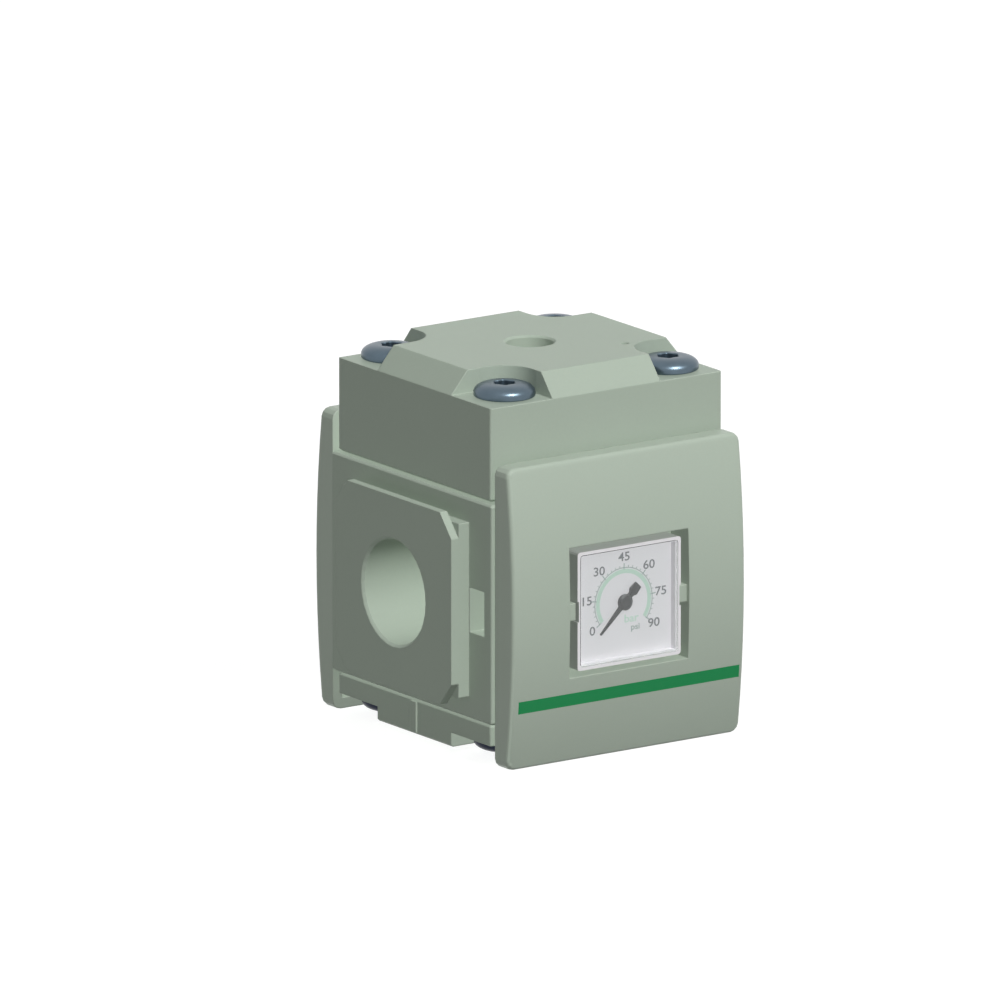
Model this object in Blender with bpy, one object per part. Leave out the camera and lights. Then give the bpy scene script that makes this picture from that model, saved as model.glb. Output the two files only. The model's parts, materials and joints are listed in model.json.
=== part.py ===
"""Pilot operated pressure regulator with a gauge in its front plate.

The valve axis is Z, the flow runs along X from the inlet (-X) to the outlet (+X), and the gauge
faces -Y. The unit stands on the lower edges of its two end plates at Z = 0. Sizes are in
millimetres, and the functions that make the meshes turn them into metres.
"""

import math

import bmesh
import bpy
from mathutils import Matrix, Vector

MM = 0.001

# Clearances and overlaps
FIT_GAP = 0.3
CUT_OVER = 1.0
SMALL_OVER = 0.2
BREAK = 0.4

# Body casting
BODY_WIDTH = 52.2
BODY_DEPTH = 50.7
WEB_THICKNESS = 3.2
CHAMBER_DIAMETER = 24.0
CHAMBER_HEIGHT = 9.0
GUIDE_SEAT_DIAMETER = 28.0
DIAPHRAGM_CHAMBER_DIAMETER = 37.6
DIAPHRAGM_CHAMBER_DEPTH = 6.65
DIAPHRAGM_SEAT_DIAMETER = 42.4
DIAPHRAGM_SEAT_DEPTH = 1.5

# Main ports, their pads and the recesses that a module clamp grips
PORT_HEIGHT = 27.9
PORT_BORE = 19.4
PORT_DEPTH = 13.2
PORT_MOUTH_CHAMFER = 0.5
PAD_DEPTH = 36.6
PAD_HEIGHT = 35.6
PAD_THICKNESS = 3.9
PAD_FLANGE = 1.6
PAD_GROOVE = 1.65
PAD_CORNER_ALONG = 3.6
PAD_CORNER_UP = 4.3
CLAMP_POCKET_HEIGHT = 8.3
CLAMP_POCKET_WIDTH = 4.6
CLAMP_POCKET_DEPTH = 3.3
PASSAGE_WIDTH = 18.0
PASSAGE_HEIGHT = 7.5
PASSAGE_RADIUS = 3.5
PASSAGE_FROM_WEB = 0.9

# Cover over the diaphragm, with the pilot port in its raised centre
COVER_WIDTH = 50.8
COVER_DEPTH = 48.1
COVER_SIDE_HEIGHT = 17.25
COVER_RISE = 4.3
COVER_SLOPE_RUN = 3.6
COVER_CHAMBER_HEIGHT = 9.75
COVER_CHAMBER_SLOPE = 1.5
PILOT_BORE = 8.7
VENT_BORE = 1.5
VENT_DEPTH = 2.5
VENT_FROM_POCKET = 1.3
VENT_ANGLE = 127.0

# Bottom cover
FOOT_CLEARANCE = 0.85
BASE_WIDTH = 50.8
BASE_DEPTH = 48.1
BASE_THICKNESS = 6.55
BASE_RIB_WIDTH = 1.9
BASE_RIB_STAND = 0.35
SPIGOT_HEIGHT = 4.3
SPIGOT_BOSS_HEIGHT = 1.5
EXHAUST_BORE = 8.7
EXHAUST_DEPTH = 3.75

# Screws and the pockets round their heads
SCREW_SPACING_X = 35.9
SCREW_SPACING_Y = 35.5
SCREW_SHANK = 5.0
SCREW_HEAD = 11.2
SCREW_HEAD_HEIGHT = 2.4
SCREW_HEAD_EDGE = 0.75
SCREW_CROWN = 4.4
SCREW_DRIVE = 3.6
SCREW_DRIVE_DEPTH = 1.3
COVER_SCREW_LENGTH = 29.0
BASE_SCREW_LENGTH = 15.0
SCREW_TIP_ROOM = 1.5
POCKET_ROOM = 0.5
BASE_POCKET_HEIGHT = 2.7

# End plates
PLATE_WIDTH = 51.1
PLATE_HEIGHT = 55.8
PLATE_EDGE_DEPTH = 3.85
PLATE_BULGE = 1.95
PLATE_CORNER = 1.7
PLATE_ROUND = 0.8
PLATE_WALL = 2.0
PLATE_RIB = 1.4
PLATE_CELL_DEPTH = 2.0
PEG_DIAMETER = 3.0
PEG_LENGTH = 3.4
PEG_SPACING_X = 43.0
PEG_SPACING_Z = 19.5

# Gauge
GAUGE_WIDTH = 22.7
GAUGE_TALL = 21.9
GAUGE_DEPTH = 10.8
GAUGE_RECESS = 0.2
GAUGE_CORNER = 0.5
GAUGE_WALL = 0.6
GAUGE_LEDGE = 1.0
GAUGE_FLOOR = 1.2
WINDOW_SIDE_GAP = 1.75
WINDOW_END_GAP = 1.1
TAB_HEIGHT = 3.2
TAB_DEPTH = 2.4
TAB_NOTCH = 0.3
TAB_SETBACK = 0.6
LENS_GAP = 0.1
LENS_THICKNESS = 0.7
LENS_TO_DIAL = 1.4
DIAL_THICKNESS = 0.5
DIAL_HOLE = 2.0
NEEDLE_THICKNESS = 0.4
NEEDLE_TIP = 7.6
NEEDLE_TAIL = 4.1
NEEDLE_TIP_WIDTH = 0.24
NEEDLE_WIDTH = 1.0
NEEDLE_WEIGHT_WIDTH = 1.9
NEEDLE_WEIGHT_END = 1.5
NEEDLE_WEIGHT_LENGTH = 2.2
NEEDLE_WEIGHT_TAPER = 0.6
NEEDLE_HUB = 3.0
NEEDLE_ZERO_ANGLE = 225.0
NEEDLE_SHAFT = 1.2
COIL_TURNS = 2.6
COIL_ROOM = 2.5
COIL_INNER = 2.0
COIL_STRIP = 0.5
COIL_WIDTH = 2.4
COIL_FROM_SOCKET = 1.6

# Gauge ports, the gauge's stem and the plug in the rear port
GAUGE_PORT_BORE = 8.7
GAUGE_PORT_WALL = 2.3
SENSING_DRILL = 2.0
SENSING_DRILL_RISE = 2.6
SOCKET_BORE = 2.0
SOCKET_RIM = 0.6
SOCKET_FLANGE = 0.9
SOCKET_BEARING_WALL = 1.0
SOCKET_FROM_PORT_END = 1.4
SOCKET_POST = 2.4
SOCKET_SEAL_SECTION = 1.1
PLUG_FLANGE_DIAMETER = 12.4
PLUG_FLANGE = 0.9
PLUG_SEAL = 0.8
PLUG_LENGTH = 6.5
PLUG_DRIVE = 2.9
PLUG_DRIVE_DEPTH = 3.5

# Diaphragm assembly
DIAPHRAGM_THICKNESS = 0.9
CONVOLUTION_RISE = 1.7
DIAPHRAGM_PLATE_DIAMETER = 27.2
DIAPHRAGM_PLATE_THICKNESS = 1.5
DIAPHRAGM_PLATE_RIM = 1.0
STUD_DIAMETER = 5.0
STUD_PAST_NUT = 0.6
NUT_ACROSS_FLATS = 8.0
NUT_HEIGHT = 2.6
RELIEF_SEAL_DIAMETER = 6.6
RELIEF_SEAL_THICKNESS = 1.0

# Valve
STEM_DIAMETER = 5.0
STEM_BORE = 2.4
STEM_COLLAR = 1.1
STEM_COLLAR_HEIGHT = 2.0
STEM_IN_BASE = 0.6
SEAT_BORE = 13.0
SEAT_WALL = 2.0
SEAT_LIP = 0.8
SEAT_LIP_WIDTH = 0.7
SEAT_FLANGE = 1.6
SEAT_FLANGE_HEIGHT = 1.1
POPPET_DIAMETER = 18.4
POPPET_WALL = 1.2
SEAL_THICKNESS = 1.5
POPPET_CUP = 1.2
POPPET_BASE = 2.0
POPPET_HUB_HEIGHT = 1.8
CLIP_THICKNESS = 0.6
CLIP_DIAMETER = 8.0
CLIP_GROOVE = 0.5
CLIP_OPENING = 60.0
SPRING_MEAN_DIAMETER = 12.4
SPRING_WIRE = 1.1
SPRING_TURNS = 4.0
SPRING_SIDE_ROOM = 0.45
STEM_SEAL_SECTION = 1.4
COVER_SEAL_SECTION = 1.7
GROOVE_SIDE = 1.0
GUIDE_THICKNESS = 2.7
GUIDE_HUB_WALL = 1.5
GUIDE_HUB_HEIGHT = 2.8
TUBE_DIAMETER = 2.6
TUBE_BORE = 1.6
TUBE_LENGTH = 8.0
TUBE_HEAD = 0.7
TUBE_HEAD_HEIGHT = 0.4
TUBE_FROM_HUB = 1.4

# Segments round a turned piece, by size
FINE = 32
MEDIUM = 20
SMALL = 16
TINY = 10


# Shared planes and places, worked out from the sizes above

base_top = FOOT_CLEARANCE + BASE_THICKNESS
body_bottom = base_top + FIT_GAP
half_body_x = BODY_WIDTH / 2
half_body_y = BODY_DEPTH / 2
pad_face = half_body_x + PAD_THICKNESS
spigot_top = base_top + SPIGOT_HEIGHT
base_pocket_top = FOOT_CLEARANCE + BASE_POCKET_HEIGHT
port_end = FOOT_CLEARANCE + EXHAUST_DEPTH

gauge_height = PORT_HEIGHT
gauge_centre = (0, gauge_height)
plate_plane = half_body_y + FIT_GAP
gauge_front = plate_plane + PLATE_EDGE_DEPTH + PLATE_BULGE - GAUGE_RECESS
gauge_back = gauge_front - GAUGE_DEPTH
gauge_port_end = CHAMBER_DIAMETER / 2 + GAUGE_PORT_WALL
gauge_port_radius = GAUGE_PORT_BORE / 2
gauge_shank = gauge_port_radius - FIT_GAP
gauge_inner_x = GAUGE_WIDTH / 2 - GAUGE_WALL
gauge_inner_z = GAUGE_TALL / 2 - GAUGE_WALL
lens_back = gauge_front - LENS_THICKNESS
dial_front = lens_back - LENS_TO_DIAL
dial_back = dial_front - DIAL_THICKNESS
needle_back = dial_front + FIT_GAP
needle_front = needle_back + NEEDLE_THICKNESS
socket_back = gauge_back + GAUGE_FLOOR + FIT_GAP
socket_face = socket_back + SOCKET_FLANGE
coil_back = socket_face + COIL_FROM_SOCKET
coil_front = coil_back + COIL_WIDTH
coil_outer = gauge_inner_z - GAUGE_LEDGE - COIL_ROOM - COIL_STRIP / 2
plug_seat = half_body_y - PLUG_FLANGE - PLUG_SEAL - 3 * FIT_GAP

web_bottom = PORT_HEIGHT - WEB_THICKNESS / 2
web_top = PORT_HEIGHT + WEB_THICKNESS / 2
guide_seat = web_top + CHAMBER_HEIGHT
guide_low = guide_seat + FIT_GAP
guide_high = guide_low + GUIDE_THICKNESS
guide_hub_low = guide_low - GUIDE_HUB_HEIGHT
diaphragm_floor = guide_high + FIT_GAP
body_top = diaphragm_floor + DIAPHRAGM_CHAMBER_DEPTH
cover_bottom = body_top + FIT_GAP
cover_edge = cover_bottom + COVER_SIDE_HEIGHT
cover_top = cover_edge + COVER_RISE
diaphragm_seat = body_top - DIAPHRAGM_SEAT_DEPTH
diaphragm_middle = (diaphragm_seat + cover_bottom) / 2
lower_plate_top = diaphragm_middle - DIAPHRAGM_THICKNESS / 2 - FIT_GAP
lower_plate_bottom = lower_plate_top - DIAPHRAGM_PLATE_THICKNESS
upper_plate_bottom = diaphragm_middle + DIAPHRAGM_THICKNESS / 2 + FIT_GAP
upper_plate_top = upper_plate_bottom + DIAPHRAGM_PLATE_THICKNESS
nut_bottom = upper_plate_top + FIT_GAP
nut_top = nut_bottom + NUT_HEIGHT

seat_lip_height = web_bottom - SEAT_LIP
seal_face = seat_lip_height - FIT_GAP
seal_back = seal_face - SEAL_THICKNESS
poppet_cup_floor = seal_back - FIT_GAP
poppet_top = poppet_cup_floor + POPPET_CUP
poppet_bottom = poppet_cup_floor - POPPET_BASE
poppet_hub_bottom = poppet_bottom - POPPET_HUB_HEIGHT
clip_top = poppet_hub_bottom - FIT_GAP
clip_bottom = clip_top - CLIP_THICKNESS
stem_top = lower_plate_bottom - FIT_GAP
stem_bottom = port_end + STEM_IN_BASE

stem_radius = STEM_DIAMETER / 2
stem_hole = stem_radius + FIT_GAP
stud_hole = STUD_DIAMETER / 2 + FIT_GAP
screw_hole = SCREW_SHANK / 2 + FIT_GAP
pocket_radius = SCREW_HEAD / 2 + POCKET_ROOM
seat_outer = SEAT_BORE / 2 + SEAT_WALL
spring_guide = SPRING_MEAN_DIAMETER / 2 - SPRING_WIRE / 2 - SPRING_SIDE_ROOM
stem_groove = stem_hole + STEM_SEAL_SECTION + FIT_GAP
stem_groove_height = STEM_SEAL_SECTION + 2 * FIT_GAP
guide_hub = stem_groove + GUIDE_HUB_WALL
tube_hole = TUBE_DIAMETER / 2 + FIT_GAP
tube_x = guide_hub + TUBE_FROM_HUB + tube_hole

base_seal_height = port_end + GROOVE_SIDE + FIT_GAP + stem_groove_height / 2
guide_seal_height = guide_hub_low + GROOVE_SIDE + stem_groove_height / 2
cover_seal_height = base_top + SPIGOT_HEIGHT / 2
socket_end = gauge_port_end + SOCKET_FROM_PORT_END
socket_groove_height = SOCKET_SEAL_SECTION + 2 * FIT_GAP
socket_seal_place = socket_end + GROOVE_SIDE + socket_groove_height / 2

screw_places = [
    (sx * SCREW_SPACING_X / 2, sy * SCREW_SPACING_Y / 2) for sx in (-1, 1) for sy in (-1, 1)
]
peg_places = [
    (sx * PEG_SPACING_X / 2, gauge_height + sz * PEG_SPACING_Z / 2)
    for sx in (-1, 1)
    for sz in (-1, 1)
]
plate_signs = {"front": -1, "rear": 1}
window_half_x = GAUGE_WIDTH / 2 + WINDOW_SIDE_GAP
window_half_z = GAUGE_TALL / 2 + WINDOW_END_GAP


# Materials

def make_material(name, colour, roughness, metallic=0.0, transmission=0.0):
    material = bpy.data.materials.new(name)
    material.use_nodes = True
    shader = material.node_tree.nodes["Principled BSDF"]
    shader.inputs["Base Color"].default_value = (*colour, 1.0)
    shader.inputs["Roughness"].default_value = roughness
    shader.inputs["Metallic"].default_value = metallic
    shader.inputs["Transmission Weight"].default_value = transmission
    return material


# Outlines, as lists of points in a plane

def rectangle(half_u, half_v, centre=(0.0, 0.0)):
    cu, cv = centre
    return [(cu + su * half_u, cv + sv * half_v) for su, sv in ((-1, -1), (1, -1), (1, 1), (-1, 1))]


def arc(centre, radius, start, end, steps):
    """Points on an arc, from start to end in degrees."""
    points = []
    for i in range(steps + 1):
        angle = math.radians(start + (end - start) * i / steps)
        points.append((centre[0] + radius * math.cos(angle), centre[1] + radius * math.sin(angle)))
    return points


def rounded_rectangle(half_u, half_v, radius, steps=3, centre=(0.0, 0.0)):
    corners = ((1, -1, -90), (1, 1, 0), (-1, 1, 90), (-1, -1, 180))
    points = []
    for su, sv, start in corners:
        middle = (centre[0] + su * (half_u - radius), centre[1] + sv * (half_v - radius))
        points += arc(middle, radius, start, start + 90, steps)
    return points


def lobed_outline(radius, lobes=6, depth=0.12, steps=12):
    """A screw drive with rounded lobes."""
    points = []
    for i in range(steps):
        angle = 2 * math.pi * i / steps
        reach = radius * (1 - depth + depth * math.cos(lobes * angle))
        points.append((reach * math.cos(angle), reach * math.sin(angle)))
    return points


# Solids

def finish_object(name, bm, material, origin=(0.0, 0.0, 0.0)):
    """Makes an object of a mesh in millimetres, with its origin at the given place."""
    bmesh.ops.remove_doubles(bm, verts=bm.verts, dist=1e-5)
    bmesh.ops.recalc_face_normals(bm, faces=bm.faces)
    bmesh.ops.translate(bm, verts=bm.verts, vec=-Vector(origin))
    bmesh.ops.scale(bm, verts=bm.verts, vec=(MM, MM, MM))
    mesh = bpy.data.meshes.new(name)
    bm.to_mesh(mesh)
    bm.free()
    obj = bpy.data.objects.new(name, mesh)
    obj.location = Vector(origin) * MM
    bpy.context.scene.collection.objects.link(obj)
    if material is not None:
        mesh.materials.append(material)
    return obj


AXIS_TURNS = {
    "Z": Matrix.Identity(3),
    "X": Matrix(((0, 0, 1), (1, 0, 0), (0, 1, 0))),
    "Y": Matrix(((1, 0, 0), (0, 0, 1), (0, 1, 0))),
}


def add_prism(bm, outline, low, high, axis="Z"):
    """Extrudes an outline from low to high along an axis. Its points are (x, y), (y, z) or (x, z)."""
    turn = AXIS_TURNS[axis]
    vertices = [bm.verts.new(turn @ Vector((u, v, low))) for u, v in outline]
    face = bm.faces.new(vertices)
    moved = bmesh.ops.extrude_face_region(bm, geom=[face])["geom"]
    raised = [item for item in moved if isinstance(item, bmesh.types.BMVert)]
    bmesh.ops.translate(bm, verts=raised, vec=turn @ Vector((0, 0, high - low)))


def add_turned(bm, profile, segments, axis="Z", centre=(0.0, 0.0)):
    """Spins a profile of (radius, height) points about an axis through centre."""
    turn = AXIS_TURNS[axis]
    offset = turn @ Vector((centre[0], centre[1], 0))
    vertices = [bm.verts.new(turn @ Vector((r, 0, h)) + offset) for r, h in profile]
    edges = [bm.edges.new(pair) for pair in zip(vertices, vertices[1:])]
    if profile[0][0] > 0 or profile[-1][0] > 0:
        edges.append(bm.edges.new((vertices[-1], vertices[0])))
    bmesh.ops.spin(
        bm,
        geom=vertices + edges,
        cent=offset,
        axis=turn @ Vector((0, 0, 1)),
        angle=2 * math.pi,
        steps=segments,
        use_merge=True,
    )


def prism(name, outline, low, high, material=None, axis="Z"):
    bm = bmesh.new()
    add_prism(bm, outline, low, high, axis)
    return finish_object(name, bm, material)


def turned(name, profile, segments, material=None, axis="Z", centre=(0.0, 0.0), origin=(0, 0, 0)):
    bm = bmesh.new()
    add_turned(bm, profile, segments, axis, centre)
    return finish_object(name, bm, material, origin)


def lofted(name, rings, material=None):
    """Joins rings of points, each with the same number of points, and closes both ends."""
    bm = bmesh.new()
    loops = [[bm.verts.new(point) for point in ring] for ring in rings]
    for lower, upper in zip(loops, loops[1:]):
        for i in range(len(lower)):
            j = (i + 1) % len(lower)
            bm.faces.new((lower[i], lower[j], upper[j], upper[i]))
    bm.faces.new(list(reversed(loops[0])))
    bm.faces.new(loops[-1])
    return finish_object(name, bm, material)


def block(name, half_x, half_y, low, high, edge, material):
    """A block with rounded uprights and its top and bottom edges broken."""
    rings = []
    for inset, z in ((edge, low), (0, low + edge), (0, high - edge), (edge, high)):
        outline = rounded_rectangle(half_x - inset, half_y - inset, edge)
        rings.append([(x, y, z) for x, y in outline])
    return lofted(name, rings, material)


def seal_ring(name, mean_radius, section, height, material, axis="Z", centre=(0.0, 0.0)):
    """A round ring seal, its middle at the given height along its axis."""
    steps = 7
    profile = []
    for i in range(steps):
        angle = 2 * math.pi * i / steps
        profile.append(
            (mean_radius + section / 2 * math.cos(angle), height + section / 2 * math.sin(angle))
        )
    return settle(turned(name, profile, MEDIUM, material, axis, centre))


# Joining and cutting

def boolean(target, tool, operation):
    modifier = target.modifiers.new(tool.name, "BOOLEAN")
    modifier.operation = operation
    modifier.solver = "EXACT"
    modifier.object = tool
    tool.hide_render = True
    tool.display_type = "WIRE"
    tool.hide_set(True)


def cut(target, *tools):
    for tool in tools:
        boolean(target, tool, "DIFFERENCE")


def join(target, *tools):
    for tool in tools:
        boolean(target, tool, "UNION")


def settle(obj, sharp_angle=32.0):
    """Applies the modifiers, removes their tools, and shades the round faces smooth."""
    tools = [modifier.object for modifier in obj.modifiers if modifier.type == "BOOLEAN"]
    graph = bpy.context.evaluated_depsgraph_get()
    mesh = bpy.data.meshes.new_from_object(obj.evaluated_get(graph))
    mesh.name = obj.name
    obj.modifiers.clear()
    obj.data = mesh
    for tool in set(tools):
        bpy.data.objects.remove(tool, do_unlink=True)
    mesh.shade_smooth()
    mesh.set_sharp_from_angle(angle=math.radians(sharp_angle))
    return obj


def screw_hole_tool(name, low, high):
    bm = bmesh.new()
    for place in screw_places:
        add_turned(bm, [(0, low), (screw_hole, low), (screw_hole, high), (0, high)], SMALL,
                   centre=place)
    return finish_object(name, bm, None)


def corner_pocket_tool(name, low, high):
    """Clears each corner round its screw head, open to both outer sides."""
    bm = bmesh.new()
    reach = BODY_WIDTH
    for x, y in screw_places:
        sx, sy = math.copysign(1, x), math.copysign(1, y)
        points = [(reach, reach), (abs(x) - pocket_radius, reach)]
        points += arc((abs(x), abs(y)), pocket_radius, 180, 270, 8)
        points += [(reach, abs(y) - pocket_radius)]
        add_prism(bm, [(sx * px, sy * py) for px, py in points], low, high)
    return finish_object(name, bm, None)


# Body casting

def port_pad(side):
    """One port pad: a flange with cut corners on a neck that clamps grip above and below."""
    half_y, half_z = PAD_DEPTH / 2, PAD_HEIGHT / 2
    flange_back = pad_face - PAD_FLANGE
    profile = [
        (half_body_x - CUT_OVER, half_z - PAD_GROOVE),
        (flange_back, half_z - PAD_GROOVE),
        (flange_back, half_z),
        (pad_face, half_z),
    ]
    profile += [(x, -z) for x, z in reversed(profile)]
    outline = [(side * x, PORT_HEIGHT + z) for x, z in profile]
    pad = prism("pad", outline, -half_y, half_y, axis="Y")
    bm = bmesh.new()
    over_y = PAD_CORNER_ALONG * CUT_OVER / PAD_CORNER_UP
    low, high = sorted((side * flange_back, side * (pad_face + CUT_OVER)))
    for sy in (-1, 1):
        for sz in (-1, 1):
            corner = [
                (half_y - PAD_CORNER_ALONG - over_y, half_z + CUT_OVER),
                (half_y + over_y, half_z - PAD_CORNER_UP - CUT_OVER),
                (half_y + over_y, half_z + CUT_OVER),
            ]
            add_prism(bm, [(sy * y, PORT_HEIGHT + sz * z) for y, z in corner], low, high, axis="X")
    cut(pad, finish_object("pad_corners", bm, None))
    return pad


def port_tool(side):
    bore = PORT_BORE / 2
    mouth = bore + PORT_MOUTH_CHAMFER
    profile = [
        (0, pad_face - PORT_DEPTH),
        (bore, pad_face - PORT_DEPTH),
        (bore, pad_face - PORT_MOUTH_CHAMFER),
        (mouth, pad_face),
        (mouth, pad_face + CUT_OVER),
        (0, pad_face + CUT_OVER),
    ]
    profile = [(r, side * h) for r, h in profile]
    return turned("port_tool", profile, FINE, axis="X", centre=(0, PORT_HEIGHT))


def passage_tool(side, low):
    """Joins a port to its chamber, below the seat web at the inlet and above it at the outlet."""
    outline = rounded_rectangle(PASSAGE_WIDTH / 2, PASSAGE_HEIGHT / 2, PASSAGE_RADIUS, 4,
                                (0, low + PASSAGE_HEIGHT / 2))
    inner = CHAMBER_DIAMETER / 4
    outer = pad_face - PORT_DEPTH + SMALL_OVER
    return prism("passage_tool", outline, *sorted((side * inner, side * outer)), axis="X")


def chamber_tool():
    """The stack of bores on the valve axis, from the diaphragm seat down to the base."""
    chamber = CHAMBER_DIAMETER / 2
    web_hole = seat_outer + FIT_GAP
    steps = (
        (DIAPHRAGM_SEAT_DIAMETER / 2, body_top + CUT_OVER, diaphragm_seat),
        (DIAPHRAGM_CHAMBER_DIAMETER / 2, diaphragm_seat, diaphragm_floor),
        (GUIDE_SEAT_DIAMETER / 2, diaphragm_floor, guide_seat),
        (chamber, guide_seat, web_top),
        (web_hole, web_top, web_bottom),
        (chamber, web_bottom, body_bottom - CUT_OVER),
    )
    profile = [(0, body_top + CUT_OVER)]
    for radius, high, low in steps:
        profile += [(radius, high), (radius, low)]
    profile.append((0, body_bottom - CUT_OVER))
    return turned("chamber_tool", profile, FINE)


def clamp_pocket_tool():
    """The four recesses beside the pads that a module clamp grips."""
    bm = bmesh.new()
    y_middle = PAD_DEPTH / 2 + SMALL_OVER + CLAMP_POCKET_WIDTH / 2
    floor = half_body_x - CLAMP_POCKET_DEPTH
    for side in (-1, 1):
        x_pair = sorted((side * floor, side * (half_body_x + CUT_OVER)))
        for sy in (-1, 1):
            outline = rectangle(CLAMP_POCKET_WIDTH / 2, CLAMP_POCKET_HEIGHT / 2,
                                (sy * y_middle, PORT_HEIGHT))
            add_prism(bm, outline, *x_pair, axis="X")
    return finish_object("clamp_pocket_tool", bm, None)


def gauge_port_tool(sign):
    """A gauge port. The rear one opens into a flat round recess for its plug's seal and flange."""
    high = half_body_y + CUT_OVER
    profile = [(0, gauge_port_end), (gauge_port_radius, gauge_port_end)]
    if sign == plate_signs["rear"]:
        spot = PLUG_FLANGE_DIAMETER / 2 + FIT_GAP
        profile += [(gauge_port_radius, plug_seat), (spot, plug_seat), (spot, high)]
    else:
        profile.append((gauge_port_radius, high))
    profile.append((0, high))
    profile = [(r, sign * h) for r, h in profile]
    return turned("gauge_port_tool", profile, MEDIUM, axis="Y", centre=gauge_centre)


def sensing_drill_tool(sign):
    """A small drilling from the end of a gauge port up to the chamber above the web."""
    drill = SENSING_DRILL / 2
    start = Vector((drill / 2, sign * (gauge_port_end + drill), gauge_height + SENSING_DRILL))
    end = Vector((drill / 2, sign * (CHAMBER_DIAMETER / 2 - SENSING_DRILL),
                  web_top + SENSING_DRILL_RISE))
    bm = bmesh.new()
    length = (end - start).length
    add_turned(bm, [(0, 0), (drill, 0), (drill, length), (0, length)], TINY)
    turn = Vector((0, 0, 1)).rotation_difference(end - start).to_matrix()
    bmesh.ops.rotate(bm, cent=(0, 0, 0), matrix=turn, verts=bm.verts)
    bmesh.ops.translate(bm, verts=bm.verts, vec=start)
    return finish_object("sensing_drill_tool", bm, None)


def peg_hole_tool():
    bm = bmesh.new()
    radius = PEG_DIAMETER / 2 + FIT_GAP
    for sign in plate_signs.values():
        for place in peg_places:
            low = half_body_y - PEG_LENGTH
            high = half_body_y + CUT_OVER
            profile = [(0, low), (radius, low), (radius, high), (0, high)]
            add_turned(bm, [(r, sign * h) for r, h in profile], TINY, "Y", place)
    return finish_object("peg_hole_tool", bm, None)


def gauge_pocket_tool():
    outline = rectangle(GAUGE_WIDTH / 2 + FIT_GAP, GAUGE_TALL / 2 + FIT_GAP, gauge_centre)
    return prism("gauge_pocket", outline, *front_pair(gauge_back - FIT_GAP, half_body_y + CUT_OVER),
                 axis="Y")


def make_body(material):
    body = block("main_body", half_body_x, half_body_y, body_bottom, body_top, BREAK, material)
    for side in (-1, 1):
        join(body, port_pad(side))
    cut(body, chamber_tool())
    low_of_side = {-1: web_bottom - PASSAGE_FROM_WEB - PASSAGE_HEIGHT, 1: web_top + PASSAGE_FROM_WEB}
    for side, low in low_of_side.items():
        cut(body, port_tool(side), passage_tool(side, low))
    cover_screw_tip = cover_edge + FIT_GAP - COVER_SCREW_LENGTH
    base_screw_tip = base_pocket_top - FIT_GAP + BASE_SCREW_LENGTH
    cut(
        body,
        clamp_pocket_tool(),
        screw_hole_tool("cover_screw_holes", cover_screw_tip - SCREW_TIP_ROOM, body_top + CUT_OVER),
        screw_hole_tool("base_screw_holes", body_bottom - CUT_OVER, base_screw_tip + SCREW_TIP_ROOM),
        gauge_pocket_tool(),
        peg_hole_tool(),
    )
    for sign in plate_signs.values():
        cut(body, gauge_port_tool(sign), sensing_drill_tool(sign))
    return settle(body)


# Covers and screws

def make_cover(material):
    half_x, half_y = COVER_WIDTH / 2, COVER_DEPTH / 2
    rings = []
    for inset, z in (
        (BREAK, cover_bottom),
        (0, cover_bottom + BREAK),
        (0, cover_edge),
        (COVER_SLOPE_RUN, cover_top),
    ):
        outline = rounded_rectangle(half_x - inset, half_y - inset, BREAK)
        rings.append([(x, y, z) for x, y in outline])
    cover = lofted("top_cover", rings, material)
    chamber = DIAPHRAGM_CHAMBER_DIAMETER / 2
    roof = cover_bottom + COVER_CHAMBER_HEIGHT
    bore = PILOT_BORE / 2
    profile = [
        (0, cover_bottom - CUT_OVER),
        (chamber, cover_bottom - CUT_OVER),
        (chamber, roof - COVER_CHAMBER_SLOPE),
        (chamber - COVER_CHAMBER_SLOPE, roof),
        (bore, roof),
        (bore, cover_top - BREAK),
        (bore + BREAK, cover_top),
        (bore + BREAK, cover_top + CUT_OVER),
        (0, cover_top + CUT_OVER),
    ]
    cut(
        cover,
        turned("pilot_chamber", profile, FINE),
        corner_pocket_tool("cover_pockets", cover_edge, cover_top + CUT_OVER),
        screw_hole_tool("cover_holes", cover_bottom - CUT_OVER, cover_edge + CUT_OVER),
        vent_tool(),
    )
    return settle(cover)


def vent_tool():
    """A small vent in the raised top, beside the pocket of the front right screw."""
    reach = pocket_radius + VENT_BORE / 2 + VENT_FROM_POCKET
    angle = math.radians(VENT_ANGLE)
    x = SCREW_SPACING_X / 2 + reach * math.cos(angle)
    y = -SCREW_SPACING_Y / 2 + reach * math.sin(angle)
    radius = VENT_BORE / 2
    low, high = cover_top - VENT_DEPTH, cover_top + CUT_OVER
    profile = [(0, low), (radius, low), (radius, high), (0, high)]
    return turned("vent_tool", profile, TINY, centre=(x, y))


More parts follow.
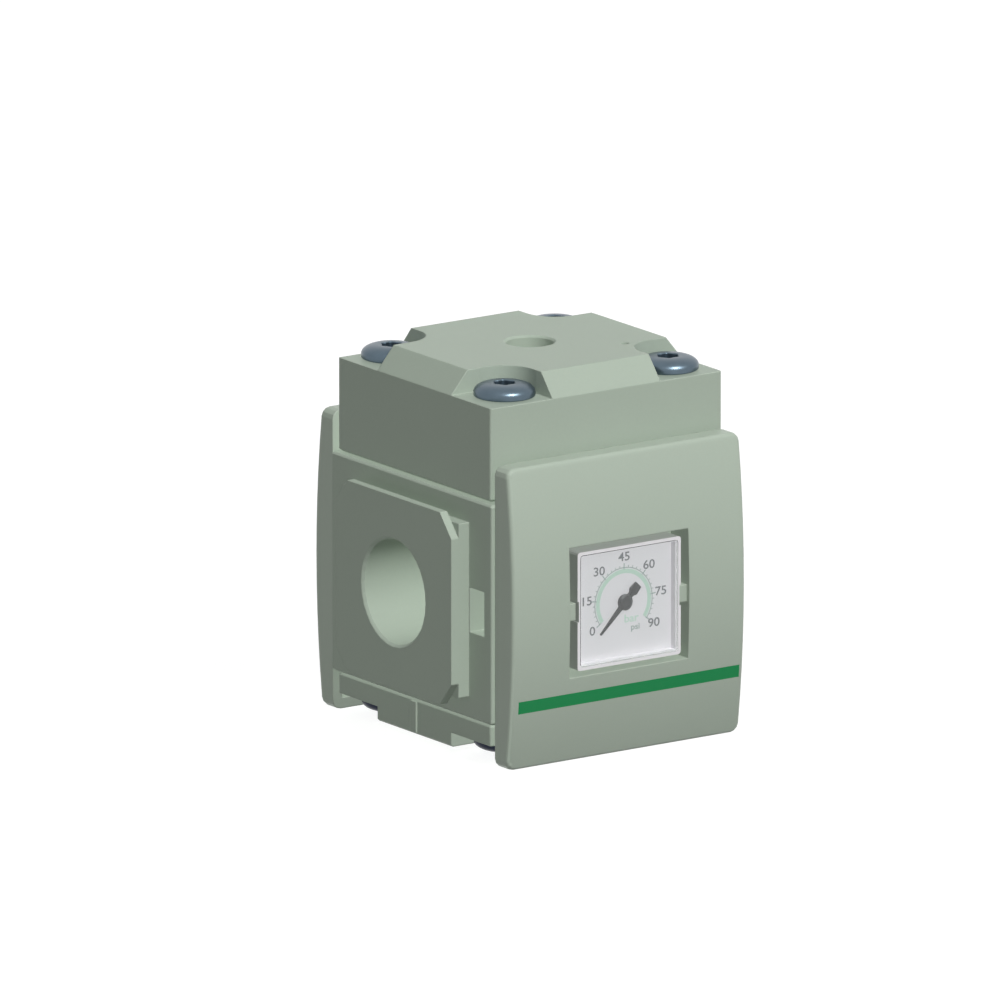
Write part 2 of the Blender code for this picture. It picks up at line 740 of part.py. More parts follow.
def make_base(material):
    half_x, half_y = BASE_WIDTH / 2, BASE_DEPTH / 2
    base = block("bottom_cover", half_x, half_y, FOOT_CLEARANCE, base_top, BREAK, material)
    rib = prism("ribs", rectangle(half_x + BASE_RIB_STAND, BASE_RIB_WIDTH / 2),
                FOOT_CLEARANCE + BREAK, base_top - BREAK)
    spigot = CHAMBER_DIAMETER / 2 - FIT_GAP
    groove = spigot - FIT_GAP - COVER_SEAL_SECTION
    half_groove = COVER_SEAL_SECTION / 2 + FIT_GAP
    boss_top = spigot_top + SPIGOT_BOSS_HEIGHT
    profile = [
        (0, base_top - CUT_OVER),
        (spigot, base_top - CUT_OVER),
        (spigot, cover_seal_height - half_groove),
        (groove, cover_seal_height - half_groove),
        (groove, cover_seal_height + half_groove),
        (spigot, cover_seal_height + half_groove),
        (spigot, spigot_top),
        (spring_guide, spigot_top),
        (spring_guide, boss_top),
        (0, boss_top),
    ]
    join(base, rib, turned("spigot", profile, FINE))
    exhaust = EXHAUST_BORE / 2
    profile = [
        (0, FOOT_CLEARANCE - CUT_OVER),
        (exhaust, FOOT_CLEARANCE - CUT_OVER),
        (exhaust, port_end),
        *guide_bore(port_end, boss_top + CUT_OVER, base_seal_height),
        (0, boss_top + CUT_OVER),
    ]
    cut(
        base,
        turned("exhaust_bore", profile, MEDIUM),
        corner_pocket_tool("base_pockets", FOOT_CLEARANCE - CUT_OVER, base_pocket_top),
        screw_hole_tool("base_holes", FOOT_CLEARANCE, base_top + CUT_OVER),
    )
    return settle(base)


def guide_bore(low, high, seal_height):
    """Profile points of a bore that guides the stem, with a groove for its ring seal."""
    half_groove = stem_groove_height / 2
    return [
        (stem_hole, low),
        (stem_hole, seal_height - half_groove),
        (stem_groove, seal_height - half_groove),
        (stem_groove, seal_height + half_groove),
        (stem_hole, seal_height + half_groove),
        (stem_hole, high),
    ]


def make_screw(name, place, seat, length, upward, material):
    """A flanged button-head screw. Its head stands above the seat, or below it for the base."""
    head = SCREW_HEAD / 2
    shank = SCREW_SHANK / 2
    tall = SCREW_HEAD_HEIGHT
    edge = SCREW_HEAD_EDGE
    crown = SCREW_CROWN / 2
    profile = [
        (0, -length),
        (shank - BREAK, -length),
        (shank, -length + BREAK),
        (shank, 0),
        (head, 0),
        (head, edge),
    ]
    steps = 3
    for i in range(1, steps + 1):
        angle = math.pi / 2 * i / steps
        profile.append((crown + (head - crown) * math.cos(angle), edge + (tall - edge) * math.sin(angle)))
    profile.append((0, tall))
    sign = 1 if upward else -1
    screw = turned(name, [(r, seat + sign * h) for r, h in profile], SMALL, material,
                   centre=place, origin=(*place, seat))
    bottom, top = seat + sign * (tall - SCREW_DRIVE_DEPTH), seat + sign * (tall + CUT_OVER)
    outline = [(place[0] + u, place[1] + v) for u, v in lobed_outline(SCREW_DRIVE / 2)]
    cut(screw, prism("drive", outline, *sorted((bottom, top))))
    return settle(screw)


# End plates

def plate_outline(inset):
    """Right side of the plate's face outline, from its lower edge to its upper edge."""
    half = PLATE_WIDTH / 2
    radius = PLATE_CORNER
    points = arc((half - radius, radius), radius - inset, -90, 0, 3)
    for i in range(1, 10):
        points.append((half - inset, radius + (PLATE_HEIGHT - 2 * radius) * i / 10))
    points += arc((half - radius, PLATE_HEIGHT - radius), radius - inset, 0, 90, 3)
    return points


def plate_depth(z):
    """How far the outer face stands from the plate's inner plane at a height."""
    share = (z - PLATE_HEIGHT / 2) / (PLATE_HEIGHT / 2)
    return PLATE_EDGE_DEPTH + PLATE_BULGE * (1 - share * share)


def plate_ring(sign, inset, drop):
    right = plate_outline(inset)
    points = right + [(-x, z) for x, z in reversed(right)]
    ring = []
    for x, z in points:
        depth = 0.0 if drop is None else plate_depth(z) - drop
        ring.append((x, sign * (plate_plane + depth), z))
    return ring


def make_plate(name, sign, has_window, material):
    bm = bmesh.new()
    rings = [plate_ring(sign, 0, None), plate_ring(sign, 0, PLATE_ROUND)]
    steps = 3
    for i in range(1, steps + 1):
        angle = math.pi / 2 * i / steps
        rings.append(plate_ring(sign, PLATE_ROUND * (1 - math.cos(angle)),
                                PLATE_ROUND * (1 - math.sin(angle))))
    loops = [[bm.verts.new(point) for point in ring] for ring in rings]
    count = len(loops[0])
    for lower, upper in zip(loops, loops[1:]):
        for i in range(count):
            j = (i + 1) % count
            bm.faces.new((lower[i], lower[j], upper[j], upper[i]))
    bm.faces.new(loops[0])
    outer = loops[-1]
    for i in range(count // 2 - 1):
        bm.faces.new((outer[i], outer[i + 1], outer[count - 2 - i], outer[count - 1 - i]))
    plate = finish_object(name, bm, material)
    add_pegs(plate, sign)
    cut(plate, cell_tool(sign))
    if has_window:
        window = rectangle(window_half_x, window_half_z, gauge_centre)
        low, high = sorted((sign * (plate_plane - CUT_OVER), sign * (gauge_front + CUT_OVER)))
        cut(plate, prism("window", window, low, high, axis="Y"))
        add_tabs(plate, sign)
    return settle(plate)


def add_pegs(plate, sign):
    radius = PEG_DIAMETER / 2
    low = half_body_y - PEG_LENGTH + FIT_GAP
    high = plate_plane + CUT_OVER
    for place in peg_places:
        profile = [(0, low), (radius - BREAK, low), (radius, low + BREAK), (radius, high), (0, high)]
        join(plate, turned("peg", [(r, sign * h) for r, h in profile], TINY, axis="Y",
                           centre=place))


def cell_tool(sign):
    """Hollows in the back of the plate, above and below the gauge, split by ribs."""
    bm = bmesh.new()
    half = PLATE_WIDTH / 2 - PLATE_WALL
    window_low = gauge_height - window_half_z - PLATE_WALL
    window_high = gauge_height + window_half_z + PLATE_WALL
    width = (2 * half - 2 * PLATE_RIB) / 3
    for z_low, z_high in ((PLATE_WALL, window_low), (window_high, PLATE_HEIGHT - PLATE_WALL)):
        for i in range(3):
            x = -half + width / 2 + i * (width + PLATE_RIB)
            outline = rectangle(width / 2, (z_high - z_low) / 2, (x, (z_low + z_high) / 2))
            low, high = sorted(
                (sign * (plate_plane - CUT_OVER / 2), sign * (plate_plane + PLATE_CELL_DEPTH))
            )
            add_prism(bm, outline, low, high, axis="Y")
    return finish_object("cells", bm, None)


def add_tabs(plate, sign):
    """The two latches at mid-height that hold the gauge by its side notches."""
    inner = GAUGE_WIDTH / 2 - TAB_NOTCH + FIT_GAP
    outer = window_half_x + CUT_OVER
    front = gauge_front - TAB_SETBACK
    for side in (-1, 1):
        x_low, x_high = sorted((side * inner, side * outer))
        outline = rectangle((x_high - x_low) / 2, TAB_HEIGHT / 2,
                            ((x_low + x_high) / 2, gauge_height))
        join(plate, prism("tab", outline, *sorted((sign * (front - TAB_DEPTH), sign * front)),
                          axis="Y"))


# Gauge

def front_pair(near, far):
    """Turns two depths from the middle into Y values on the front side, lowest first."""
    return sorted((-near, -far))


def gauge_turned(name, profile, segments, material=None):
    """A piece turned about the needle's axis. Its heights are depths from the middle."""
    return turned(name, [(r, -h) for r, h in profile], segments, material, "Y", gauge_centre,
                  origin=(0, 0, gauge_height))


def gauge_plate(name, half_x, half_z, near, far, material):
    outline = rounded_rectangle(half_x, half_z, GAUGE_CORNER - LENS_GAP, 2, gauge_centre)
    return prism(name, outline, *front_pair(near, far), material, "Y")


def make_gauge_case(material):
    outline = rounded_rectangle(GAUGE_WIDTH / 2, GAUGE_TALL / 2, GAUGE_CORNER, 2, gauge_centre)
    case = prism("gauge_case", outline, *front_pair(gauge_back, gauge_front), material, "Y")
    ledge = dial_back - FIT_GAP
    wide = rounded_rectangle(gauge_inner_x, gauge_inner_z, GAUGE_CORNER, 2, gauge_centre)
    narrow = rounded_rectangle(gauge_inner_x - GAUGE_LEDGE, gauge_inner_z - GAUGE_LEDGE,
                               GAUGE_CORNER, 2, gauge_centre)
    floor = gauge_back + GAUGE_FLOOR
    hole = gauge_shank + FIT_GAP
    cut(
        case,
        prism("case_mouth", wide, *front_pair(ledge, gauge_front + CUT_OVER), axis="Y"),
        prism("case_well", narrow, *front_pair(floor, ledge + CUT_OVER), axis="Y"),
        gauge_turned("case_hole", [(0, gauge_back - CUT_OVER), (hole, gauge_back - CUT_OVER),
                                   (hole, floor + CUT_OVER), (0, floor + CUT_OVER)], MEDIUM),
    )
    bm = bmesh.new()
    notch_x = GAUGE_WIDTH / 2 - TAB_NOTCH
    for side in (-1, 1):
        x_low, x_high = sorted((side * notch_x, side * (GAUGE_WIDTH / 2 + CUT_OVER)))
        notch = rectangle((x_high - x_low) / 2, TAB_HEIGHT / 2 + FIT_GAP,
                          ((x_low + x_high) / 2, gauge_height))
        notch_back = gauge_front - TAB_SETBACK - TAB_DEPTH - FIT_GAP
        add_prism(bm, notch, *front_pair(notch_back, gauge_front + CUT_OVER), axis="Y")
    cut(case, finish_object("case_notches", bm, None))
    return settle(case)


def make_gauge_socket(material):
    """The brass stem of the gauge, which screws into the port and holds the coiled tube."""
    half_groove = socket_groove_height / 2
    groove = gauge_shank - FIT_GAP - SOCKET_SEAL_SECTION
    flange = coil_outer + SOCKET_RIM
    bearing = NEEDLE_SHAFT / 2 + FIT_GAP
    bore = SOCKET_BORE / 2
    bearing_top = socket_face + SOCKET_BEARING_WALL
    profile = [
        (bore, socket_end),
        (gauge_shank, socket_end),
        (gauge_shank, socket_seal_place - half_groove),
        (groove, socket_seal_place - half_groove),
        (groove, socket_seal_place + half_groove),
        (gauge_shank, socket_seal_place + half_groove),
        (gauge_shank, socket_back),
        (flange, socket_back),
        (flange, socket_face),
        (bearing + SOCKET_BEARING_WALL, socket_face),
        (bearing + SOCKET_BEARING_WALL, bearing_top),
        (bearing, bearing_top),
        (bearing, socket_back),
        (bore, socket_back - SOCKET_BORE / 2),
    ]
    socket = gauge_turned("gauge_socket", profile, MEDIUM, material)
    join(socket, coil_post())
    return settle(socket)


def coil_post():
    """The post on the socket's flange that holds the outer end of the coiled tube."""
    angle = coil_angle(0)
    along = Vector((math.cos(angle), math.sin(angle)))
    across = Vector((-along.y, along.x))
    back_off = SOCKET_POST / 2 + COIL_STRIP + FIT_GAP
    centre = Vector(gauge_centre) + along * coil_outer - across * back_off
    corners = []
    for su, sv in ((-1, -1), (1, -1), (1, 1), (-1, 1)):
        corner = centre + along * su * SOCKET_POST / 4 + across * sv * SOCKET_POST / 2
        corners.append((corner.x, corner.y))
    return prism("post", corners, *front_pair(socket_back + SMALL_OVER, coil_front), axis="Y")


def coil_angle(share):
    return math.radians(NEEDLE_ZERO_ANGLE - 180) + 2 * math.pi * COIL_TURNS * share


def make_bourdon_coil(material):
    """The flattened tube, coiled from the socket's post in to the needle's shaft."""
    steps = int(COIL_TURNS * SMALL)
    outer, inner = [], []
    for i in range(steps + 1):
        share = i / steps
        angle = coil_angle(share)
        radius = coil_outer + (COIL_INNER - coil_outer) * share
        for points, reach in ((outer, radius + COIL_STRIP / 2), (inner, radius - COIL_STRIP / 2)):
            points.append((reach * math.cos(angle), gauge_height + reach * math.sin(angle)))
    outline = outer + list(reversed(inner))
    return settle(prism("bourdon_coil", outline, *front_pair(coil_back, coil_front), material, "Y"))


def make_dial(material):
    half_x = gauge_inner_x - LENS_GAP
    half_z = gauge_inner_z - LENS_GAP
    dial = gauge_plate("gauge_dial", half_x, half_z, dial_back, dial_front, material)
    hole = DIAL_HOLE / 2
    cut(dial, gauge_turned("dial_hole", [(0, dial_back - CUT_OVER), (hole, dial_back - CUT_OVER),
                                         (hole, dial_front + CUT_OVER), (0, dial_front + CUT_OVER)],
                           MEDIUM))
    return settle(dial)


def make_lens(material):
    half_x = gauge_inner_x - LENS_GAP
    half_z = gauge_inner_z - LENS_GAP
    return settle(gauge_plate("gauge_lens", half_x, half_z, lens_back, gauge_front, material))


def make_needle(material):
    """The pointer with its hub, shaft and the collet that the coiled tube turns."""
    shaft = NEEDLE_SHAFT / 2
    hub = NEEDLE_HUB / 2
    hub_front = needle_front + FIT_GAP
    collet = COIL_INNER - COIL_STRIP / 2 - FIT_GAP
    end = socket_face + FIT_GAP
    profile = [
        (0, end),
        (shaft, end),
        (shaft, coil_back),
        (collet, coil_back),
        (collet, coil_front),
        (shaft, coil_front),
        (shaft, needle_back),
        (hub, needle_back),
        (hub, hub_front - BREAK / 2),
        (hub - BREAK, hub_front),
        (0, hub_front),
    ]
    needle = gauge_turned("gauge_needle", profile, SMALL, material)
    turn = Matrix.Rotation(math.radians(NEEDLE_ZERO_ANGLE), 2)
    weight_start = NEEDLE_TAIL - NEEDLE_WEIGHT_LENGTH
    shape = [
        (NEEDLE_TIP, NEEDLE_TIP_WIDTH / 2),
        (0, NEEDLE_WIDTH / 2),
        (-weight_start, NEEDLE_WIDTH / 2),
        (-weight_start - NEEDLE_WEIGHT_TAPER, NEEDLE_WEIGHT_WIDTH / 2),
        (-NEEDLE_TAIL, NEEDLE_WEIGHT_END / 2),
    ]
    shape += [(along, -across) for along, across in reversed(shape)]
    points = [turn @ Vector(point) for point in shape]
    outline = [(point.x, gauge_height + point.y) for point in points]
    join(needle, prism("pointer", outline, *front_pair(needle_back, needle_front), axis="Y"))
    return settle(needle)


def make_rear_plug(plug_material, seal_material):
    """The socket-headed plug in the spare gauge port behind the rear plate."""
    shank = gauge_shank
    flange = PLUG_FLANGE_DIAMETER / 2
    seal_back = plug_seat + FIT_GAP
    seal_front = seal_back + PLUG_SEAL
    flange_back = seal_front + FIT_GAP
    flange_front = flange_back + PLUG_FLANGE
    profile = [
        (0, flange_back - PLUG_LENGTH),
        (shank - BREAK, flange_back - PLUG_LENGTH),
        (shank, flange_back - PLUG_LENGTH + BREAK),
        (shank, flange_back),
        (flange, flange_back),
        (flange, flange_front),
        (0, flange_front),
    ]
    plug = turned("rear_gauge_plug", profile, MEDIUM, plug_material, "Y", gauge_centre)
    hexagon = arc(gauge_centre, PLUG_DRIVE, 0, 300, 5)
    cut(plug, prism("plug_hexagon", hexagon, flange_front - PLUG_DRIVE_DEPTH,
                    flange_front + CUT_OVER, axis="Y"))
    ring = [(gauge_port_radius, seal_back), (flange, seal_back), (flange, seal_front),
            (gauge_port_radius, seal_front)]
    settle(turned("rear_plug_seal", ring, MEDIUM, seal_material, "Y", gauge_centre))
    return settle(plug)


# Diaphragm assembly

def make_diaphragm(material):
    """A thin sheet with one raised convolution and a clamped bead at its rim."""
    half = DIAPHRAGM_THICKNESS / 2
    half_bead = (cover_bottom - diaphragm_seat) / 2 - FIT_GAP
    bead_inner = DIAPHRAGM_CHAMBER_DIAMETER / 2 + FIT_GAP
    rim = DIAPHRAGM_SEAT_DIAMETER / 2 - FIT_GAP
    fold_start = DIAPHRAGM_PLATE_DIAMETER / 2 + FIT_GAP
    fold_end = DIAPHRAGM_CHAMBER_DIAMETER / 2 - FIT_GAP
    steps = 5
    middle = [(stud_hole, 0.0)]
    for i in range(steps + 1):
        share = i / steps
        middle.append(
            (fold_start + (fold_end - fold_start) * share,
             CONVOLUTION_RISE * math.sin(math.pi * share))
        )
    profile = [(r, diaphragm_middle + rise + half) for r, rise in middle]
    profile += [
        (bead_inner, diaphragm_middle + half_bead),
        (rim, diaphragm_middle + half_bead),
        (rim, diaphragm_middle - half_bead),
        (bead_inner, diaphragm_middle - half_bead),
    ]
    profile += [(r, diaphragm_middle + rise - half) for r, rise in reversed(middle)]
    return settle(turned("diaphragm", profile, FINE, material))


def make_diaphragm_plates(material, nut_material, seal_material):
    radius = DIAPHRAGM_PLATE_DIAMETER / 2
    stud = STUD_DIAMETER / 2
    recess = RELIEF_SEAL_DIAMETER / 2 + FIT_GAP
    seal_top = lower_plate_bottom + RELIEF_SEAL_THICKNESS
    origin = (0, 0, lower_plate_bottom)
    profile = [
        (0, seal_top + FIT_GAP),
        (recess, seal_top + FIT_GAP),
        (recess, lower_plate_bottom),
        (radius - BREAK, lower_plate_bottom),
        (radius, lower_plate_bottom + BREAK),
        (radius, lower_plate_top),
        (stud, lower_plate_top),
        (stud, nut_top + STUD_PAST_NUT),
        (0, nut_top + STUD_PAST_NUT),
    ]
    settle(turned("lower_diaphragm_plate", profile, FINE, material, origin=origin))
    profile = [
        (stud_hole, upper_plate_bottom),
        (radius, upper_plate_bottom),
        (radius, upper_plate_top + DIAPHRAGM_PLATE_RIM),
        (radius - DIAPHRAGM_PLATE_RIM, upper_plate_top + DIAPHRAGM_PLATE_RIM),
        (radius - DIAPHRAGM_PLATE_RIM - BREAK, upper_plate_top),
        (stud_hole, upper_plate_top),
    ]
    settle(turned("upper_diaphragm_plate", profile, FINE, material, origin=origin))
    corner = NUT_ACROSS_FLATS / math.sqrt(3)
    nut = prism("diaphragm_nut", arc((0, 0), corner, 0, 300, 5), nut_bottom, nut_top,
                nut_material)
    cut(nut, turned("nut_hole", [(0, nut_bottom - CUT_OVER), (stud_hole, nut_bottom - CUT_OVER),
                                 (stud_hole, nut_top + CUT_OVER), (0, nut_top + CUT_OVER)], SMALL))
    settle(nut)
    profile = [(0, lower_plate_bottom), (RELIEF_SEAL_DIAMETER / 2, lower_plate_bottom),
               (RELIEF_SEAL_DIAMETER / 2, seal_top), (0, seal_top)]
    settle(turned("relief_seal", profile, SMALL, seal_material, origin=origin))


# Valve

def make_valve_seat(material):
    bore = SEAT_BORE / 2
    flange_low = web_top + FIT_GAP
    flange_top = flange_low + SEAT_FLANGE_HEIGHT
    profile = [
        (bore, seat_lip_height),
        (bore + SEAT_LIP_WIDTH, seat_lip_height),
        (seat_outer, web_bottom),
        (seat_outer, flange_low),
        (seat_outer + SEAT_FLANGE, flange_low),
        (seat_outer + SEAT_FLANGE, flange_top),
        (bore + BREAK, flange_top),
        (bore, flange_top - BREAK),
    ]
    return settle(turned("valve_seat", profile, FINE, material))


def make_stem(material):
    """The hollow stem that the diaphragm pushes, with a collar above the poppet."""
    bore = STEM_BORE / 2
    outer = stem_radius
    collar = outer + STEM_COLLAR
    clip_groove = outer - CLIP_GROOVE
    collar_low = seal_face + FIT_GAP
    collar_high = collar_low + STEM_COLLAR_HEIGHT
    groove_high = clip_top + SMALL_OVER
    groove_low = clip_bottom - SMALL_OVER
    profile = [
        (bore, stem_bottom),
        (outer - BREAK, stem_bottom),
        (outer, stem_bottom + BREAK),
        (outer, groove_low),
        (clip_groove, groove_low),
        (clip_groove, groove_high),
        (outer, groove_high),
        (outer, collar_low),
        (collar, collar_low),
        (collar, collar_high),
        (outer, collar_high + STEM_COLLAR),
        (outer, stem_top - STEM_COLLAR),
        (bore + BREAK, stem_top),
        (bore, stem_top),
    ]
    return settle(turned("valve_stem", profile, MEDIUM, material, origin=(0, 0, stem_bottom)))


def make_poppet(material, seal_material, clip_material):
    origin = (0, 0, poppet_hub_bottom)
    outer = POPPET_DIAMETER / 2
    seal_outer = outer - POPPET_WALL
    hub = spring_guide
    profile = [
        (stem_hole, poppet_hub_bottom),
        (hub, poppet_hub_bottom),
        (hub, poppet_bottom),
        (outer - BREAK, poppet_bottom),
        (outer, poppet_bottom + BREAK),
        (outer, poppet_top),
        (seal_outer + FIT_GAP, poppet_top),
        (seal_outer + FIT_GAP, poppet_cup_floor),
        (stem_hole, poppet_cup_floor),
    ]
    settle(turned("valve_poppet", profile, FINE, material, origin=origin))
    profile = [(stem_hole, seal_back), (seal_outer, seal_back), (seal_outer, seal_face),
               (stem_hole, seal_face)]
    settle(turned("poppet_seal", profile, FINE, seal_material, origin=origin))
    inner = stem_radius - CLIP_GROOVE / 2
    start, end = CLIP_OPENING / 2, 360 - CLIP_OPENING / 2
    outline = arc((0, 0), CLIP_DIAMETER / 2, start, end, TINY)
    outline += list(reversed(arc((0, 0), inner, start, end, TINY)))
    clip = prism("poppet_clip", outline, clip_bottom, clip_top, clip_material)
    settle(clip)


def make_spring(material):
    """The coil spring between the base cover and the poppet."""
    wire = SPRING_WIRE / 2
    low = spigot_top + FIT_GAP + wire
    high = poppet_bottom - FIT_GAP - wire
    per_turn = SMALL
    count = int(SPRING_TURNS * per_turn)
    curve = bpy.data.curves.new("valve_spring", "CURVE")
    curve.dimensions = "3D"
    curve.bevel_depth = wire * MM
    curve.bevel_resolution = 1
    curve.use_fill_caps = True
    spline = curve.splines.new("POLY")
    spline.points.add(count)
    for i in range(count + 1):
        angle = 2 * math.pi * i / per_turn
        x = SPRING_MEAN_DIAMETER / 2 * math.cos(angle)
        y = SPRING_MEAN_DIAMETER / 2 * math.sin(angle)
        z = low + (high - low) * i / count
        spline.points[i].co = (x * MM, y * MM, z * MM, 1)
    spring = bpy.data.objects.new("valve_spring", curve)
    curve.materials.append(material)
    bpy.context.scene.collection.objects.link(spring)
    return spring


def make_guide(material):
    """The disc that closes the outlet chamber and guides the upper stem."""
    outer = GUIDE_SEAT_DIAMETER / 2 - FIT_GAP
    profile = [
        *guide_bore(guide_hub_low, guide_high, guide_seal_height),
        (outer, guide_high),
        (outer, guide_low),
        (guide_hub, guide_low),
        (guide_hub, guide_hub_low),
    ]
    guide = turned("stem_guide", profile, FINE, material)
    low, high = guide_low - CUT_OVER, guide_high + CUT_OVER
    cut(guide, turned("tube_hole", [(0, low), (tube_hole, low), (tube_hole, high), (0, high)],
                      SMALL, centre=(tube_x, 0)))
    return settle(guide)


def make_sensing_tube(material):
    """The tube that carries outlet pressure up to the diaphragm."""
    head_low = guide_high + FIT_GAP
    bore, outer = TUBE_BORE / 2, TUBE_DIAMETER / 2
    profile = [
        (bore, head_low - TUBE_LENGTH),
        (outer, head_low - TUBE_LENGTH),
        (outer, head_low),
        (outer + TUBE_HEAD, head_low),
        (outer + TUBE_HEAD, head_low + TUBE_HEAD_HEIGHT),
        (bore, head_low + TUBE_HEAD_HEIGHT),
    ]
    return settle(turned("sensing_tube", profile, SMALL, material, centre=(tube_x, 0)))


# Assembly

def make_screws(material):
    for i, place in enumerate(screw_places, 1):
        make_screw(f"cover_screw_{i}", place, cover_edge + FIT_GAP, COVER_SCREW_LENGTH, True,
                   material)
        make_screw(f"bottom_screw_{i}", place, base_pocket_top - FIT_GAP, BASE_SCREW_LENGTH, False,
                   material)


def make_seals(material):
    stem_mean = stem_hole + STEM_SEAL_SECTION / 2
    cover_mean = CHAMBER_DIAMETER / 2 - FIT_GAP - COVER_SEAL_SECTION / 2
    socket_mean = gauge_port_radius - FIT_GAP - SOCKET_SEAL_SECTION / 2
    seal_ring("lower_stem_seal", stem_mean, STEM_SEAL_SECTION, base_seal_height, material)
    seal_ring("upper_stem_seal", stem_mean, STEM_SEAL_SECTION, guide_seal_height, material)
    seal_ring("bottom_cover_seal", cover_mean, COVER_SEAL_SECTION, cover_seal_height, material)
    seal_ring("gauge_seal", socket_mean, SOCKET_SEAL_SECTION, -socket_seal_place, material, "Y",
              gauge_centre)


def add_moving_groups():
    """Empties that carry the moving pieces, each on its joint's axis."""
    groups = {
        "valve": ((0, 0, stem_bottom), ("valve_stem", "valve_poppet", "poppet_seal",
                                        "poppet_clip")),
        "diaphragm_plates": ((0, 0, lower_plate_bottom), ("lower_diaphragm_plate",
                                                          "upper_diaphragm_plate",
                                                          "diaphragm_nut", "relief_seal")),
        "needle": ((0, -dial_front, gauge_height), ("gauge_needle",)),
    }
    for name, (place, pieces) in groups.items():
        carrier = bpy.data.objects.new(name, None)
        carrier.location = Vector(place) * MM
        bpy.context.scene.collection.objects.link(carrier)
        bpy.context.view_layer.update()
        for piece in pieces:
            obj = bpy.data.objects[piece]
            obj.parent = carrier
            obj.matrix_parent_inverse = carrier.matrix_world.inverted()


def main():
    for obj in list(bpy.data.objects):
        bpy.data.objects.remove(obj, do_unlink=True)

    casting = make_material("painted_casting", (0.38, 0.43, 0.37), 0.5, 0.1)
    moulding = make_material("plate_moulding", (0.42, 0.47, 0.41), 0.45)
    screw_steel = make_material("zinc_steel", (0.16, 0.21, 0.28), 0.35, 0.8)
    brass = make_material("brass", (0.62, 0.45, 0.2), 0.35, 1.0)
    aluminium = make_material("aluminium", (0.62, 0.63, 0.64), 0.4, 1.0)
    steel = make_material("spring_steel", (0.45, 0.45, 0.46), 0.3, 1.0)
    rubber = make_material("black_rubber", (0.02, 0.02, 0.02), 0.7)
    case_plastic = make_material("gauge_plastic", (0.5, 0.52, 0.5), 0.5)
    white = make_material("dial_white", (0.8, 0.8, 0.8), 0.5)
    black = make_material("needle_black", (0.02, 0.02, 0.02), 0.4)
    clear = make_material("clear_plastic", (0.95, 0.97, 0.96), 0.05, 0.0, 1.0)

    make_body(casting)
    make_cover(casting)
    make_base(casting)
    make_screws(screw_steel)
    make_plate("front_plate", plate_signs["front"], True, moulding)
    make_plate("rear_plate", plate_signs["rear"], False, moulding)

    make_gauge_case(case_plastic)
    make_gauge_socket(brass)
    make_bourdon_coil(brass)
    make_dial(white)
    make_lens(clear)
    make_needle(black)
    make_rear_plug(screw_steel, rubber)

    make_diaphragm(rubber)
    make_diaphragm_plates(aluminium, steel, rubber)
    make_valve_seat(brass)
    make_stem(brass)
    make_poppet(aluminium, rubber, steel)
    make_spring(steel)
    make_guide(aluminium)
    make_sensing_tube(brass)
    make_seals(rubber)
    add_moving_groups()


main()
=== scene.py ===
# Looks for the pilot operated regulator: materials, dial printing, screws, seals, light and camera.
import json
import math

import bmesh
import bpy
from mathutils import Matrix, Vector


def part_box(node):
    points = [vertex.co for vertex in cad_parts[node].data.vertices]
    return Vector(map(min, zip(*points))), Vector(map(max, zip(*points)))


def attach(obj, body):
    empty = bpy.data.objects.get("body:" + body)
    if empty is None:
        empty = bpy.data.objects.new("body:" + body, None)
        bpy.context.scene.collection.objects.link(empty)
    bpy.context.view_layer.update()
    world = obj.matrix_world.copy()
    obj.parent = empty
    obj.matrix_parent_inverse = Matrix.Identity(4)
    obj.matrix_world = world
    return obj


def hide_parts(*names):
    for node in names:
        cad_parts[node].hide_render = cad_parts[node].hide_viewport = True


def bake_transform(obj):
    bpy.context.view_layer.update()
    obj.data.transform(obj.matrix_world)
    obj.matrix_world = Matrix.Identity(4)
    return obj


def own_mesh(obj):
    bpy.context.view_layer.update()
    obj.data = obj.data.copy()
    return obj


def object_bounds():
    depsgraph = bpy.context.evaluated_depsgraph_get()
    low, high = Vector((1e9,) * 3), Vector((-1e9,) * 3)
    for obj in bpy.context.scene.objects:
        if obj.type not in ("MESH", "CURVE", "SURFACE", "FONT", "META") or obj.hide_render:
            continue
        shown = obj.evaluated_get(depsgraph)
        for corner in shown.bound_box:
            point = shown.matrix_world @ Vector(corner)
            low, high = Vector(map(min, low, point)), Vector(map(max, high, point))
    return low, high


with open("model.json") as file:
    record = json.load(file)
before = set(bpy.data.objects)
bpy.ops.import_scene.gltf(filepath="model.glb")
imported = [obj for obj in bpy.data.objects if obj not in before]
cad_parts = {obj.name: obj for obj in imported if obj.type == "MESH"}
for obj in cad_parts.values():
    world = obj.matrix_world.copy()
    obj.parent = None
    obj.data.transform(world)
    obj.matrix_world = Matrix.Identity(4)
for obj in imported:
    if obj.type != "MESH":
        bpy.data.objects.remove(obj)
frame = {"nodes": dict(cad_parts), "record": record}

nodes = frame["nodes"]
cadLow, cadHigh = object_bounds()
mm = 0.001
forwardLimit = -0.6      # a face whose normal has a lower y than this looks forwards
print("frame loaded:", len(nodes), "nodes")


# Small helpers for node trees

def addNode(tree, kind, **settings):
    node = tree.nodes.new(kind)
    for key, value in settings.items():
        setattr(node, key, value)
    return node


def mathNode(tree, operation, first, second=None, clamp=False):
    node = addNode(tree, "ShaderNodeMath", operation=operation, use_clamp=clamp)
    for socket, value in zip(node.inputs, (first, second)):
        if isinstance(value, (int, float)):
            socket.default_value = value
        elif value is not None:
            tree.links.new(value, socket)
    return node.outputs[0]


